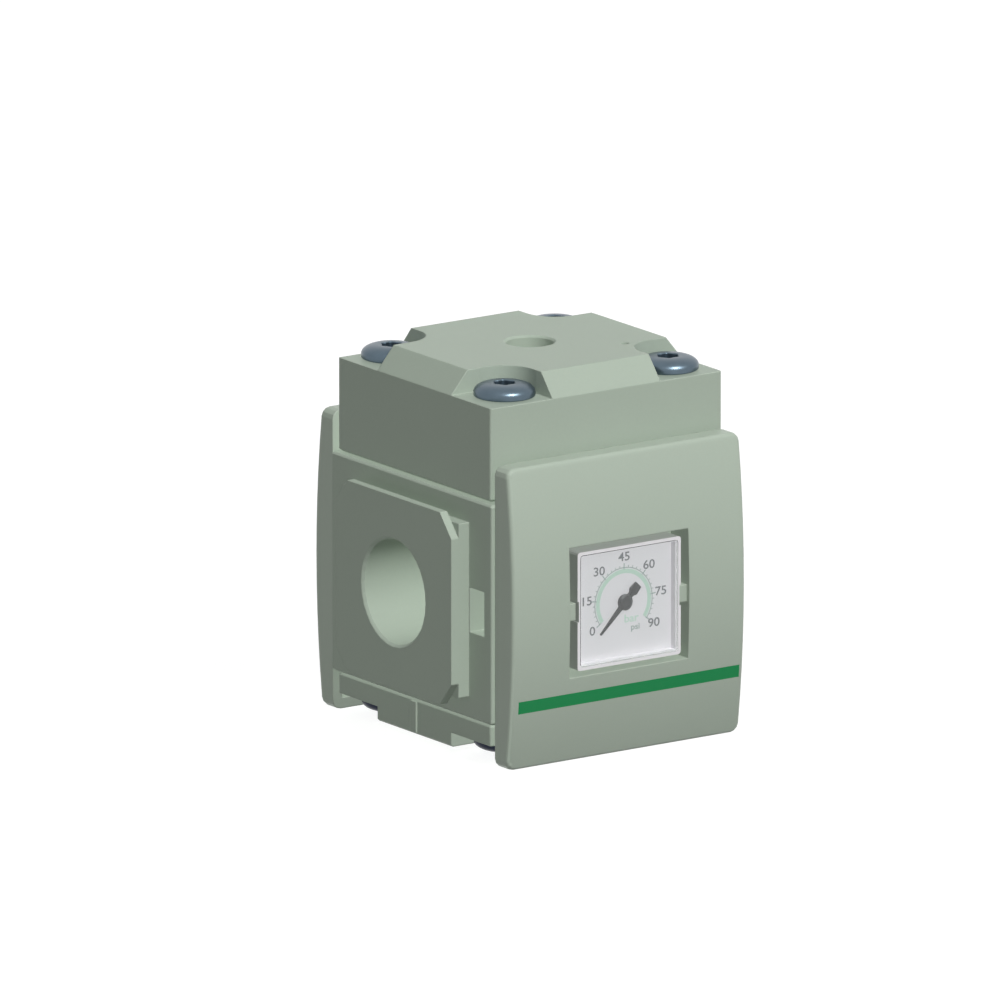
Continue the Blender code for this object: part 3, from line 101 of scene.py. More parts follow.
def mixColor(tree, factor, first, second, blend="MIX"):
    node = addNode(tree, "ShaderNodeMix", data_type="RGBA", blend_type=blend)
    for socket, value in zip((node.inputs[0], node.inputs[6], node.inputs[7]),
                             (factor, first, second)):
        if isinstance(value, (int, float)):
            socket.default_value = value
        elif isinstance(value, tuple):
            socket.default_value = (*value, 1.0)
        else:
            tree.links.new(value, socket)
    return node.outputs[2]


def newGroup(name, inputs, outputs):
    tree = bpy.data.node_groups.new(name, "ShaderNodeTree")
    for label, kind, value in inputs:
        socket = tree.interface.new_socket(label, in_out="INPUT", socket_type=kind)
        socket.default_value = value
    for label, kind in outputs:
        tree.interface.new_socket(label, in_out="OUTPUT", socket_type=kind)
    return tree, tree.nodes.new("NodeGroupInput"), tree.nodes.new("NodeGroupOutput")


def placeGroup(material, group, **values):
    node = addNode(material.node_tree, "ShaderNodeGroup", node_tree=group)
    for label, value in values.items():
        node.inputs[label].default_value = value
    return node


# Effects that several materials share

def makePaintGrain():
    # fine orange peel or spark-eroded texture, with slow patches of tone
    tree, given, made = newGroup("paintGrain", [
        ("Color", "NodeSocketColor", (0.5, 0.5, 0.5, 1.0)),
        ("GrainScale", "NodeSocketFloat", 2200.0),
        ("PatchAmount", "NodeSocketFloat", 0.05),
        ("Roughness", "NodeSocketFloat", 0.45),
        ("RoughnessSpread", "NodeSocketFloat", 0.08),
    ], [("Color", "NodeSocketColor"), ("Roughness", "NodeSocketFloat"),
        ("Height", "NodeSocketFloat")])
    coords = addNode(tree, "ShaderNodeTexCoord").outputs["Object"]
    grain = addNode(tree, "ShaderNodeTexNoise")
    grain.inputs["Detail"].default_value = 4.0
    grain.inputs["Roughness"].default_value = 0.6
    patch = addNode(tree, "ShaderNodeTexNoise")
    patch.inputs["Scale"].default_value = 60.0
    patch.inputs["Detail"].default_value = 3.0
    for noise in (grain, patch):
        tree.links.new(coords, noise.inputs["Vector"])
    tree.links.new(given.outputs["GrainScale"], grain.inputs["Scale"])
    grainValue, patchValue = grain.outputs[0], patch.outputs[0]
    swing = mathNode(tree, "SUBTRACT", patchValue, 0.5)
    swing = mathNode(tree, "MULTIPLY", swing, given.outputs["PatchAmount"])
    fleck = mathNode(tree, "MULTIPLY", mathNode(tree, "SUBTRACT", grainValue, 0.5), 0.06)
    level = mathNode(tree, "ADD", mathNode(tree, "ADD", swing, fleck), 1.0)
    shade = addNode(tree, "ShaderNodeCombineColor")
    for channel in shade.inputs:
        tree.links.new(level, channel)
    color = mixColor(tree, 1.0, given.outputs["Color"], shade.outputs[0], "MULTIPLY")
    spread = mathNode(tree, "MULTIPLY", mathNode(tree, "SUBTRACT", grainValue, 0.5),
                      given.outputs["RoughnessSpread"])
    rough = mathNode(tree, "ADD", given.outputs["Roughness"], spread, True)
    tree.links.new(color, made.inputs["Color"])
    tree.links.new(rough, made.inputs["Roughness"])
    tree.links.new(grainValue, made.inputs["Height"])
    return tree


def makeSoftEdge():
    # a small rounded edge in the normal, and a mask of the edges for a lighter edge colour: partly
    # edge wear, partly a painted highlight along the edges
    tree, given, made = newGroup("softEdge", [
        ("Radius", "NodeSocketFloat", 0.0003),
    ], [("Normal", "NodeSocketVector"), ("Edge", "NodeSocketFloat")])
    bevel = addNode(tree, "ShaderNodeBevel", samples=6)
    tree.links.new(given.outputs["Radius"], bevel.inputs["Radius"])
    flat = addNode(tree, "ShaderNodeNewGeometry")
    dot = addNode(tree, "ShaderNodeVectorMath", operation="DOT_PRODUCT")
    tree.links.new(bevel.outputs[0], dot.inputs[0])
    tree.links.new(flat.outputs["Normal"], dot.inputs[1])
    turn = mathNode(tree, "SUBTRACT", 1.0, dot.outputs["Value"], True)
    edge = mathNode(tree, "MULTIPLY", turn, 5.0, True)
    tree.links.new(bevel.outputs[0], made.inputs["Normal"])
    tree.links.new(edge, made.inputs["Edge"])
    return tree


def makeTurnedMetal():
    # fine tool rings or brushing, stretched along one axis
    tree, given, made = newGroup("turnedMetal", [
        ("Color", "NodeSocketColor", (0.5, 0.5, 0.5, 1.0)),
        ("Stretch", "NodeSocketVector", (1.0, 1.0, 30.0)),
        ("Scale", "NodeSocketFloat", 300.0),
        ("Roughness", "NodeSocketFloat", 0.3),
        ("RoughnessSpread", "NodeSocketFloat", 0.15),
    ], [("Color", "NodeSocketColor"), ("Roughness", "NodeSocketFloat"),
        ("Height", "NodeSocketFloat")])
    coords = addNode(tree, "ShaderNodeTexCoord").outputs["Object"]
    stretch = addNode(tree, "ShaderNodeVectorMath", operation="MULTIPLY")
    tree.links.new(coords, stretch.inputs[0])
    tree.links.new(given.outputs["Stretch"], stretch.inputs[1])
    streak = addNode(tree, "ShaderNodeTexNoise")
    streak.inputs["Detail"].default_value = 5.0
    tree.links.new(stretch.outputs[0], streak.inputs["Vector"])
    tree.links.new(given.outputs["Scale"], streak.inputs["Scale"])
    value = streak.outputs[0]
    swing = mathNode(tree, "SUBTRACT", value, 0.5)
    level = mathNode(tree, "ADD", mathNode(tree, "MULTIPLY", swing, 0.25), 1.0)
    shade = addNode(tree, "ShaderNodeCombineColor")
    for channel in shade.inputs:
        tree.links.new(level, channel)
    color = mixColor(tree, 1.0, given.outputs["Color"], shade.outputs[0], "MULTIPLY")
    spread = mathNode(tree, "MULTIPLY", swing, given.outputs["RoughnessSpread"])
    rough = mathNode(tree, "ADD", given.outputs["Roughness"], spread, True)
    tree.links.new(color, made.inputs["Color"])
    tree.links.new(rough, made.inputs["Roughness"])
    tree.links.new(value, made.inputs["Height"])
    return tree


def makeRoundWall():
    # the normal of a true cylinder on the walls of a faceted bore or pocket
    tree, given, made = newGroup("roundWall", [
        ("Normal", "NodeSocketVector", (0.0, 0.0, 1.0)),
        ("Axis", "NodeSocketVector", (0.0, 0.0, 1.0)),
        ("Centre", "NodeSocketVector", (0.0, 0.0, 0.0)),
        ("Radius", "NodeSocketFloat", 0.005),
        ("Tolerance", "NodeSocketFloat", 0.0001),
    ], [("Normal", "NodeSocketVector")])

    def vector(operation, first, second=None, scale=None):
        node = addNode(tree, "ShaderNodeVectorMath", operation=operation)
        tree.links.new(first, node.inputs[0])
        if second is not None:
            tree.links.new(second, node.inputs[1])
        if scale is not None:
            tree.links.new(scale, node.inputs["Scale"])
        return node.outputs

    axis = given.outputs["Axis"]
    coords = addNode(tree, "ShaderNodeTexCoord").outputs["Object"]
    reach = vector("SUBTRACT", coords, given.outputs["Centre"])[0]
    along = vector("DOT_PRODUCT", reach, axis)["Value"]
    radial = vector("SUBTRACT", reach, vector("SCALE", axis, scale=along)[0])[0]
    gap = mathNode(tree, "SUBTRACT", vector("LENGTH", radial)["Value"], given.outputs["Radius"])
    near = mathNode(tree, "LESS_THAN", mathNode(tree, "ABSOLUTE", gap), given.outputs["Tolerance"])
    outward = vector("NORMALIZE", radial)[0]
    flat = addNode(tree, "ShaderNodeNewGeometry").outputs["True Normal"]
    facing = vector("DOT_PRODUCT", outward, flat)["Value"]
    steep = mathNode(tree, "GREATER_THAN", mathNode(tree, "ABSOLUTE", facing), 0.93)
    wanted = vector("SCALE", outward, scale=mathNode(tree, "SIGN", facing))[0]
    mixed = addNode(tree, "ShaderNodeMix", data_type="VECTOR")
    tree.links.new(mathNode(tree, "MULTIPLY", near, steep), mixed.inputs[0])
    tree.links.new(given.outputs["Normal"], mixed.inputs[4])
    tree.links.new(wanted, mixed.inputs[5])
    tree.links.new(mixed.outputs[1], made.inputs["Normal"])
    return tree


paintGrain = makePaintGrain()
softEdge = makeSoftEdge()
turnedMetal = makeTurnedMetal()
roundWall = makeRoundWall()


def newMaterial(name, **settings):
    material = bpy.data.materials.new(name)
    material.use_nodes = True
    shader = material.node_tree.nodes["Principled BSDF"]
    for label, value in settings.items():
        shader.inputs[label].default_value = value
    return material, material.node_tree, shader


def connectNormal(tree, shader, height, strength, distance, normal=None):
    bump = addNode(tree, "ShaderNodeBump")
    bump.inputs["Strength"].default_value = strength
    bump.inputs["Distance"].default_value = distance
    tree.links.new(height, bump.inputs["Height"])
    if normal is not None:
        tree.links.new(normal, bump.inputs["Normal"])
    tree.links.new(bump.outputs[0], shader.inputs["Normal"])


# Painted casting

castingPaint = {
    "color": (0.338, 0.396, 0.332),
    # lighter green for the edges: partly edge wear, partly a painted highlight along the edges
    "wearAndHighlightColor": (0.50, 0.56, 0.48),
    "roughness": 0.42,
    "specular": 0.08,
    "grainScale": 1500.0,
    "grainDepth": 0.02 * mm,
    "grainStrength": 0.35,
    "edgeRadius": 0.35 * mm,
    "wearAndHighlightAmount": 0.35,
    "portHeight": 27.9 * mm,
    "portRadius": 9.7 * mm,
    "pilotRadius": 4.35 * mm,
    "pocketX": 17.95 * mm,
    "pocketY": 17.75 * mm,
    "pocketRadius": 6.1 * mm,
}


def roundedWalls(material, look, normal):
    upright, sideways = (0.0, 0.0, 1.0), (1.0, 0.0, 0.0)
    walls = [(sideways, (0.0, 0.0, look["portHeight"]), look["portRadius"]),
             (upright, (0.0, 0.0, 0.0), look["pilotRadius"])]
    walls += [(upright, (sx * look["pocketX"], sy * look["pocketY"], 0.0), look["pocketRadius"])
              for sx in (-1, 1) for sy in (-1, 1)]
    for axis, centre, radius in walls:
        wall = placeGroup(material, roundWall, Axis=axis, Centre=centre, Radius=radius)
        material.node_tree.links.new(normal, wall.inputs["Normal"])
        normal = wall.outputs["Normal"]
    return normal


def makeCastingPaint(look=castingPaint):
    material, tree, shader = newMaterial("castingPaint")
    grain = placeGroup(material, paintGrain, Color=(*look["color"], 1.0),
                       GrainScale=look["grainScale"], Roughness=look["roughness"])
    edges = placeGroup(material, softEdge, Radius=look["edgeRadius"])
    # edges take a lighter green: partly edge wear, partly a painted highlight along the edges
    wearAndHighlightMask = mathNode(tree, "MULTIPLY", edges.outputs["Edge"], look["wearAndHighlightAmount"])
    color = mixColor(tree, wearAndHighlightMask, grain.outputs["Color"], look["wearAndHighlightColor"])
    tree.links.new(color, shader.inputs["Base Color"])
    tree.links.new(grain.outputs["Roughness"], shader.inputs["Roughness"])
    shader.inputs["Specular IOR Level"].default_value = look["specular"]
    connectNormal(tree, shader, grain.outputs["Height"], look["grainStrength"], look["grainDepth"],
                  roundedWalls(material, look, edges.outputs["Normal"]))
    return material


# Moulded end plates, the front one with its green band

plateLook = {
    "color": (0.348, 0.406, 0.341),
    # lighter green for the edges: partly edge wear, partly a painted highlight along the edges
    "wearAndHighlightColor": (0.52, 0.58, 0.49),
    "specular": 0.2,
    "bandColor": (0.002, 0.205, 0.058),
    "bandMiddle": 11.8 * mm,
    "bandHalf": 1.15 * mm,
    "bandLeft": -24.0 * mm,
    "bandRight": 24.6 * mm,
    "roughness": 0.36,
    "grainScale": 2600.0,
    "grainDepth": 0.012 * mm,
    "grainStrength": 0.3,
    "edgeRadius": 0.3 * mm,
    "wearAndHighlightAmount": 0.3,
    "crownBend": 12.0,
    "crownMiddle": 31.5 * mm,
}


def bandMask(tree, look):
    # 1 inside the printed band, on faces that look forwards
    coords = addNode(tree, "ShaderNodeTexCoord").outputs["Object"]
    split = addNode(tree, "ShaderNodeSeparateXYZ")
    tree.links.new(coords, split.inputs[0])
    x, y, z = split.outputs
    above = mathNode(tree, "GREATER_THAN", z, look["bandMiddle"] - look["bandHalf"])
    below = mathNode(tree, "LESS_THAN", z, look["bandMiddle"] + look["bandHalf"])
    right = mathNode(tree, "GREATER_THAN", x, look["bandLeft"])
    left = mathNode(tree, "LESS_THAN", x, look["bandRight"])
    facing = addNode(tree, "ShaderNodeSeparateXYZ")
    tree.links.new(addNode(tree, "ShaderNodeNewGeometry").outputs["True Normal"], facing.inputs[0])
    forwards = mathNode(tree, "LESS_THAN", facing.outputs["Y"], forwardLimit)
    mask = mathNode(tree, "MULTIPLY", above, below)
    for part in (right, left, forwards):
        mask = mathNode(tree, "MULTIPLY", mask, part)
    return mask


def crownNormal(tree, look, normal):
    # a smooth bend from top to bottom, in place of the facets of the wide faces
    split = addNode(tree, "ShaderNodeSeparateXYZ")
    tree.links.new(addNode(tree, "ShaderNodeTexCoord").outputs["Object"], split.inputs[0])
    rise = mathNode(tree, "SUBTRACT", split.outputs["Z"], look["crownMiddle"])
    tilt = mathNode(tree, "MULTIPLY", rise, look["crownBend"])
    flat = addNode(tree, "ShaderNodeSeparateXYZ")
    tree.links.new(addNode(tree, "ShaderNodeNewGeometry").outputs["True Normal"], flat.inputs[0])
    wide = mathNode(tree, "GREATER_THAN", mathNode(tree, "ABSOLUTE", flat.outputs["Y"]), 0.95)
    change = mathNode(tree, "MULTIPLY", mathNode(tree, "SUBTRACT", tilt, flat.outputs["Z"]), wide)
    upward = addNode(tree, "ShaderNodeCombineXYZ")
    tree.links.new(change, upward.inputs["Z"])
    added = addNode(tree, "ShaderNodeVectorMath", operation="ADD")
    tree.links.new(normal, added.inputs[0])
    tree.links.new(upward.outputs[0], added.inputs[1])
    unit = addNode(tree, "ShaderNodeVectorMath", operation="NORMALIZE")
    tree.links.new(added.outputs[0], unit.inputs[0])
    return unit.outputs[0]


def makePlateMoulding(name, withBand, look=plateLook):
    material, tree, shader = newMaterial(name)
    grain = placeGroup(material, paintGrain, Color=(*look["color"], 1.0), PatchAmount=0.03,
                       GrainScale=look["grainScale"], Roughness=look["roughness"])
    edges = placeGroup(material, softEdge, Radius=look["edgeRadius"])
    # edges take a lighter green: partly edge wear, partly a painted highlight along the edges
    wearAndHighlightMask = mathNode(tree, "MULTIPLY", edges.outputs["Edge"], look["wearAndHighlightAmount"])
    color = mixColor(tree, wearAndHighlightMask, grain.outputs["Color"], look["wearAndHighlightColor"])
    shader.inputs["Specular IOR Level"].default_value = look["specular"]
    if withBand:
        mask = bandMask(tree, look)
        color = mixColor(tree, mask, color, look["bandColor"])
    tree.links.new(color, shader.inputs["Base Color"])
    tree.links.new(grain.outputs["Roughness"], shader.inputs["Roughness"])
    connectNormal(tree, shader, grain.outputs["Height"], look["grainStrength"], look["grainDepth"],
                  crownNormal(tree, look, edges.outputs["Normal"]))
    return material


# Metals

metalFinish = {"edgeRadius": 0.15 * mm, "grainStrength": 0.3}

metalLooks = {
    "zincSteel": {"color": (0.101, 0.140, 0.172), "roughness": 0.32, "metallic": 0.85,
                  "scale": 500.0, "stretch": (1.0, 1.0, 1.0), "depth": 0.006 * mm},
    "darkSteel": {"color": (0.010, 0.014, 0.030), "roughness": 0.38, "metallic": 0.7,
                  "scale": 500.0, "stretch": (1.0, 1.0, 1.0), "depth": 0.006 * mm},
    "brass": {"color": (0.66, 0.47, 0.20), "roughness": 0.30, "metallic": 1.0,
              "scale": 260.0, "stretch": (1.0, 1.0, 40.0), "depth": 0.006 * mm},
    "machinedAluminium": {"color": (0.66, 0.67, 0.68), "roughness": 0.36, "metallic": 1.0,
                          "scale": 260.0, "stretch": (1.0, 1.0, 40.0), "depth": 0.006 * mm},
    "springSteel": {"color": (0.46, 0.46, 0.47), "roughness": 0.26, "metallic": 1.0,
                    "scale": 900.0, "stretch": (1.0, 1.0, 1.0), "depth": 0.003 * mm},
}


def makeMetal(name):
    look = metalLooks[name]
    material, tree, shader = newMaterial(name, Metallic=look["metallic"])
    turned = placeGroup(material, turnedMetal, Color=(*look["color"], 1.0),
                        Stretch=look["stretch"], Scale=look["scale"], Roughness=look["roughness"])
    edges = placeGroup(material, softEdge, Radius=metalFinish["edgeRadius"])
    tree.links.new(turned.outputs["Color"], shader.inputs["Base Color"])
    tree.links.new(turned.outputs["Roughness"], shader.inputs["Roughness"])
    connectNormal(tree, shader, turned.outputs["Height"], metalFinish["grainStrength"],
                  look["depth"], edges.outputs["Normal"])
    return material


# Plastics, print and rubber

plainGrainStrength = 0.3

plainLooks = {
    # the gauge case's grey colour is painted shade on its sides; the front colour is the white of its
    # forward-facing rim
    "gaugePlastic": {"color": (0.30, 0.32, 0.30), "unshadedFrontColor": (0.66, 0.65, 0.665),
                     "roughness": 0.38, "grainScale": 2600.0, "depth": 0.008 * mm},
    "dialPaper": {"color": (0.62, 0.60, 0.625), "roughness": 0.55, "grainScale": 4000.0,
                  "depth": 0.003 * mm},
    "needlePaint": {"color": (0.012, 0.013, 0.014), "roughness": 0.35, "grainScale": 4000.0,
                    "depth": 0.003 * mm},
    "numberInk": {"color": (0.12, 0.125, 0.135), "roughness": 0.5, "grainScale": 4000.0,
                  "depth": 0.002 * mm},
    "scaleInk": {"color": (0.24, 0.30, 0.28), "roughness": 0.5, "grainScale": 4000.0,
                 "depth": 0.002 * mm},
    "paleGreenInk": {"color": (0.40, 0.54, 0.46), "roughness": 0.5, "grainScale": 4000.0,
                     "depth": 0.002 * mm},
    "sealRubber": {"color": (0.018, 0.018, 0.02), "roughness": 0.62, "grainScale": 1800.0,
                   "depth": 0.01 * mm},
}


def makePlain(name):
    look = plainLooks[name]
    material, tree, shader = newMaterial(name)
    grain = placeGroup(material, paintGrain, Color=(*look["color"], 1.0),
                       GrainScale=look["grainScale"], Roughness=look["roughness"])
    color = grain.outputs["Color"]
    if "unshadedFrontColor" in look:
        # only the faces that look forwards keep the white of the rim; all other faces keep the grey
        # colour, which is painted shade on the sides of the case
        facing = addNode(tree, "ShaderNodeSeparateXYZ")
        tree.links.new(addNode(tree, "ShaderNodeNewGeometry").outputs["True Normal"],
                       facing.inputs[0])
        front = mathNode(tree, "LESS_THAN", facing.outputs["Y"], forwardLimit)
        color = mixColor(tree, front, color, look["unshadedFrontColor"])
    tree.links.new(color, shader.inputs["Base Color"])
    tree.links.new(grain.outputs["Roughness"], shader.inputs["Roughness"])
    connectNormal(tree, shader, grain.outputs["Height"], plainGrainStrength, look["depth"])
    return material


lensLook = {"tint": (0.93, 0.96, 0.95, 1.0), "roughness": 0.03, "ior": 1.49,
            "hazeScale": 350.0, "hazeAmount": 0.03}


def makeLensPlastic(look=lensLook):
    # the clear pane lets light through to the dial behind it
    material, tree, shader = newMaterial("lensPlastic", Metallic=0.0)
    shader.inputs["Base Color"].default_value = look["tint"]
    shader.inputs["IOR"].default_value = look["ior"]
    shader.inputs["Transmission Weight"].default_value = 1.0
    grain = addNode(tree, "ShaderNodeTexNoise")
    grain.inputs["Scale"].default_value = look["hazeScale"]
    tree.links.new(addNode(tree, "ShaderNodeTexCoord").outputs["Object"], grain.inputs["Vector"])
    swing = mathNode(tree, "MULTIPLY", grain.outputs[0], look["hazeAmount"])
    tree.links.new(mathNode(tree, "ADD", swing, look["roughness"]), shader.inputs["Roughness"])
    path = addNode(tree, "ShaderNodeLightPath")
    clear = addNode(tree, "ShaderNodeBsdfTransparent")
    clear.inputs["Color"].default_value = look["tint"]
    passing = mathNode(tree, "MAXIMUM", path.outputs["Is Shadow Ray"],
                       path.outputs["Is Diffuse Ray"])
    mixed = addNode(tree, "ShaderNodeMixShader")
    tree.links.new(passing, mixed.inputs[0])
    tree.links.new(shader.outputs[0], mixed.inputs[1])
    tree.links.new(clear.outputs[0], mixed.inputs[2])
    tree.links.new(mixed.outputs[0], tree.nodes["Material Output"].inputs["Surface"])
    return material


materials = {
    "painted_casting": makeCastingPaint(),
    "zinc_steel": makeMetal("zincSteel"),
    "brass": makeMetal("brass"),
    "aluminium": makeMetal("machinedAluminium"),
    "spring_steel": makeMetal("springSteel"),
    "gauge_plastic": makePlain("gaugePlastic"),
    "dial_white": makePlain("dialPaper"),
    "needle_black": makePlain("needlePaint"),
    "black_rubber": makePlain("sealRubber"),
    "clear_plastic": makeLensPlastic(),
    "plate_moulding": makePlateMoulding("plateMoulding", False),
}
bandedPlate = makePlateMoulding("bandedPlateMoulding", True)
darkSteel = makeMetal("darkSteel")
numberInk = makePlain("numberInk")
scaleInk = makePlain("scaleInk")
paleGreenInk = makePlain("paleGreenInk")
print("materials made:", len(bpy.data.materials))


# Each CAD node takes the material of its slot in the record

for entry in frame["record"]["subparts"]:
    node = nodes[entry["node"]]
    node.data.materials.clear()
    if entry["node"] == "front_plate":
        node.data.materials.append(bandedPlate)
    else:
        node.data.materials.append(materials[entry["material_slot"]])
print("nodes painted")


# Meshes of new pieces

def pieceOf(name, bm, material, body):
    bmesh.ops.recalc_face_normals(bm, faces=bm.faces)
    mesh = bpy.data.meshes.new(name)
    bm.to_mesh(mesh)
    bm.free()
    mesh.shade_smooth()
    mesh.set_sharp_from_angle(angle=math.radians(35))
    mesh.materials.append(material)
    piece = bpy.data.objects.new(name, mesh)
    bpy.context.scene.collection.objects.link(piece)
    if body is not None:
        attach(piece, body)
    return piece


def loftRings(bm, rings, closeStart=True, closeEnd=True):
    # rings hold the same number of points each
    loops = [[bm.verts.new(point) for point in ring] for ring in rings]
    count = len(loops[0])
    for lower, upper in zip(loops, loops[1:]):
        for i in range(count):
            j = (i + 1) % count
            bm.faces.new((lower[i], lower[j], upper[j], upper[i]))
    if closeStart:
        bm.faces.new(loops[0])
    if closeEnd:
        bm.faces.new(loops[-1])


def bodyOfNode(name):
    for body, members in frame["record"]["behaviour"]["bodies"].items():
        if name in members:
            return body


# Screws: a flanged button head with a six-lobed drive

screwLook = {
    "segments": 96,
    "shank": 5.0 * mm,
    "headHeight": 2.4 * mm,
    "rimHeight": 0.75 * mm,
    "crown": 5.0 * mm,
    "driveRadius": 2.05 * mm,
    "driveDepth": 1.35 * mm,
    "lobeDepth": 0.13,
    "edge": 0.14 * mm,
    "domeSteps": 8,
}


def roundRing(radius, height, look=screwLook):
    return [(radius, 2 * math.pi * i / look["segments"], height) for i in range(look["segments"])]


def lobedRing(radius, height, look=screwLook):
    ring = []
    for i in range(look["segments"]):
        angle = 2 * math.pi * i / look["segments"]
        reach = radius * (1 - look["lobeDepth"] * (1 - math.cos(6 * angle)) / 2)
        ring.append((reach, angle, height))
    return ring


def screwRings(length, head, look=screwLook):
    # from the tip up over the dome and down into the drive
    shank, tall, rim, edge = look["shank"] / 2, look["headHeight"], look["rimHeight"], look["edge"]
    crown, drive = look["crown"] / 2, look["driveRadius"]
    rings = [roundRing(shank - 4 * edge, -length), roundRing(shank, -length + 4 * edge),
             roundRing(shank, 0), roundRing(head - edge, 0), roundRing(head, edge),
             roundRing(head, rim - edge)]
    for i in range(look["domeSteps"]):
        angle = math.pi / 2 * (i + 0.5) / look["domeSteps"]
        rings.append(roundRing(crown + (head - crown) * math.cos(angle),
                               rim + (tall - rim) * math.sin(angle)))
    rings += [roundRing(crown, tall), lobedRing(drive + edge, tall), lobedRing(drive, tall - edge),
              lobedRing(drive, tall - look["driveDepth"]), lobedRing(edge, tall - look["driveDepth"])]
    return rings


def makeScrewPiece(nodeName, material):
    low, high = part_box(nodeName)
    upward = nodeName.startswith("cover")
    length = high.z - low.z - screwLook["headHeight"]
    seat = low.z + length if upward else high.z - length
    sign = 1 if upward else -1
    middle = (low + high) / 2
    placed = []
    for ring in screwRings(length, (high.x - low.x) / 2):
        placed.append([(middle.x + r * math.cos(a), middle.y + r * math.sin(a), seat + sign * h)
                       for r, a, h in ring])
    bm = bmesh.new()
    loftRings(bm, placed)
    piece = pieceOf("dressed_" + nodeName, bm, material, "housing")
    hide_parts(nodeName)


for i in range(1, 5):
    makeScrewPiece(f"cover_screw_{i}", materials["zinc_steel"])
    makeScrewPiece(f"bottom_screw_{i}", darkSteel)
print("screws made")


# Rubber pieces, turned from a closed section round the axis of their CAD node

rubberLook = {"around": 96, "section": 20, "corner": 0.12 * mm, "cornerSteps": 4}


def radiiOf(nodeName, axis):
    low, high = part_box(nodeName)
    middle = (low + high) / 2
    reach = []
    for vertex in nodes[nodeName].data.vertices:
        offset = vertex.co - middle
        reach.append(math.hypot(offset.x, offset.y if axis == "Z" else offset.z))
    return min(reach), max(reach)


def makeTurnedRubber(nodeName, section, axis="Z", look=rubberLook):
    # section holds (radius, height from the middle of the node) points
    low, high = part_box(nodeName)
    middle = (low + high) / 2
    rings = []
    for i in range(look["around"] + 1):
        turn = 2 * math.pi * i / look["around"]
        ring = []
        for radius, height in section:
            across, along = radius * math.cos(turn), radius * math.sin(turn)
            offset = (across, along, height) if axis == "Z" else (across, height, along)
            ring.append(middle + Vector(offset))
        rings.append(ring)
    bm = bmesh.new()
    loftRings(bm, rings, False, False)
    bmesh.ops.remove_doubles(bm, verts=bm.verts, dist=1e-7)
    piece = pieceOf("dressed_" + nodeName, bm, materials["black_rubber"], bodyOfNode(nodeName))
    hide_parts(nodeName)
    return piece


def roundSection(nodeName, axis, look=rubberLook):
    low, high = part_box(nodeName)
    radius = (high.z - low.z if axis == "Z" else high.y - low.y) / 2
    mean = radiiOf(nodeName, axis)[1] - radius
    turns = [2 * math.pi * i / look["section"] for i in range(look["section"])]
    return [(mean + radius * math.cos(a), radius * math.sin(a)) for a in turns]


def flatSection(inner, outer, half, look=rubberLook):
    # a washer's section with rounded corners
    corner = look["corner"]
    section = []
    for r, h, start in ((outer - corner, half - corner, 0), (inner + corner, half - corner, 90),
                        (inner + corner, corner - half, 180), (outer - corner, corner - half, 270)):
        for i in range(look["cornerSteps"] + 1):
            angle = math.radians(start + 90 * i / look["cornerSteps"])
            section.append((r + corner * math.cos(angle), h + corner * math.sin(angle)))
    return section


for nodeName, axis in (("upper_stem_seal", "Z"), ("lower_stem_seal", "Z"),
                       ("bottom_cover_seal", "Z"), ("gauge_seal", "Y")):
    makeTurnedRubber(nodeName, roundSection(nodeName, axis), axis)

for nodeName, axis in (("poppet_seal", "Z"), ("rear_plug_seal", "Y"), ("relief_seal", "Z")):
    low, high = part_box(nodeName)
    inner, outer = radiiOf(nodeName, axis)
    half = (high.z - low.z if axis == "Z" else high.y - low.y) / 2
    makeTurnedRubber(nodeName, flatSection(max(inner, 0.1 * mm), outer, half), axis)
print("seals made")


# Diaphragm: a thin sheet with one rolled fold and a clamped rim, made in sectors

diaphragmLook = {
    "thickness": 0.9 * mm,
    "foldInner": 13.9 * mm,
    "foldOuter": 18.5 * mm,
    "foldRise": 1.7 * mm,
    "beadInner": 19.1 * mm,
    "foldSteps": 16,
    "sectors": 16,
    "stepsPerSector": 6,
}


def diaphragmSection(look=diaphragmLook):
    # (radius, height in the row frame) points
    low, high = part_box("diaphragm")
    inner, outer = radiiOf("diaphragm", "Z")
    halfSheet = look["thickness"] / 2
    sheet = high.z - look["foldRise"] - halfSheet
    bead = sheet - low.z
    line = [(inner, 0.0)]
    for i in range(look["foldSteps"] + 1):
        share = i / look["foldSteps"]
        line.append((look["foldInner"] + (look["foldOuter"] - look["foldInner"]) * share,
                     look["foldRise"] * math.sin(math.pi * share)))
    section = [(r, sheet + h + halfSheet) for r, h in line]
    section += [(look["beadInner"], sheet + bead), (outer, sheet + bead),
                (outer, sheet - bead), (look["beadInner"], sheet - bead)]
    return section + [(r, sheet + h - halfSheet) for r, h in reversed(line)]


def makeDiaphragm(look=diaphragmLook):
    low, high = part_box("diaphragm")
    middle = (low + high) / 2
    section = diaphragmSection()
    width = 2 * math.pi / look["sectors"]
    for sector in range(look["sectors"]):
        rings = []
        for i in range(look["stepsPerSector"] + 1):
            turn = width * (sector + i / look["stepsPerSector"])
            rings.append([(middle.x + r * math.cos(turn), middle.y + r * math.sin(turn), z)
                          for r, z in section])
        bm = bmesh.new()
        loftRings(bm, rings)
        piece = pieceOf(f"dressed_diaphragm_{sector + 1}", bm, materials["black_rubber"], None)
        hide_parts("diaphragm")
        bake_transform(piece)


makeDiaphragm()
print("diaphragm made")


# Valve spring: a round wire with closed end coils

springLook = {
    "wire": 1.1 * mm,
    "turns": 5.0,
    "closed": 0.75,
    "pointsPerTurn": 40,
    "around": 14,
    "travel": 3.0 * mm,
}


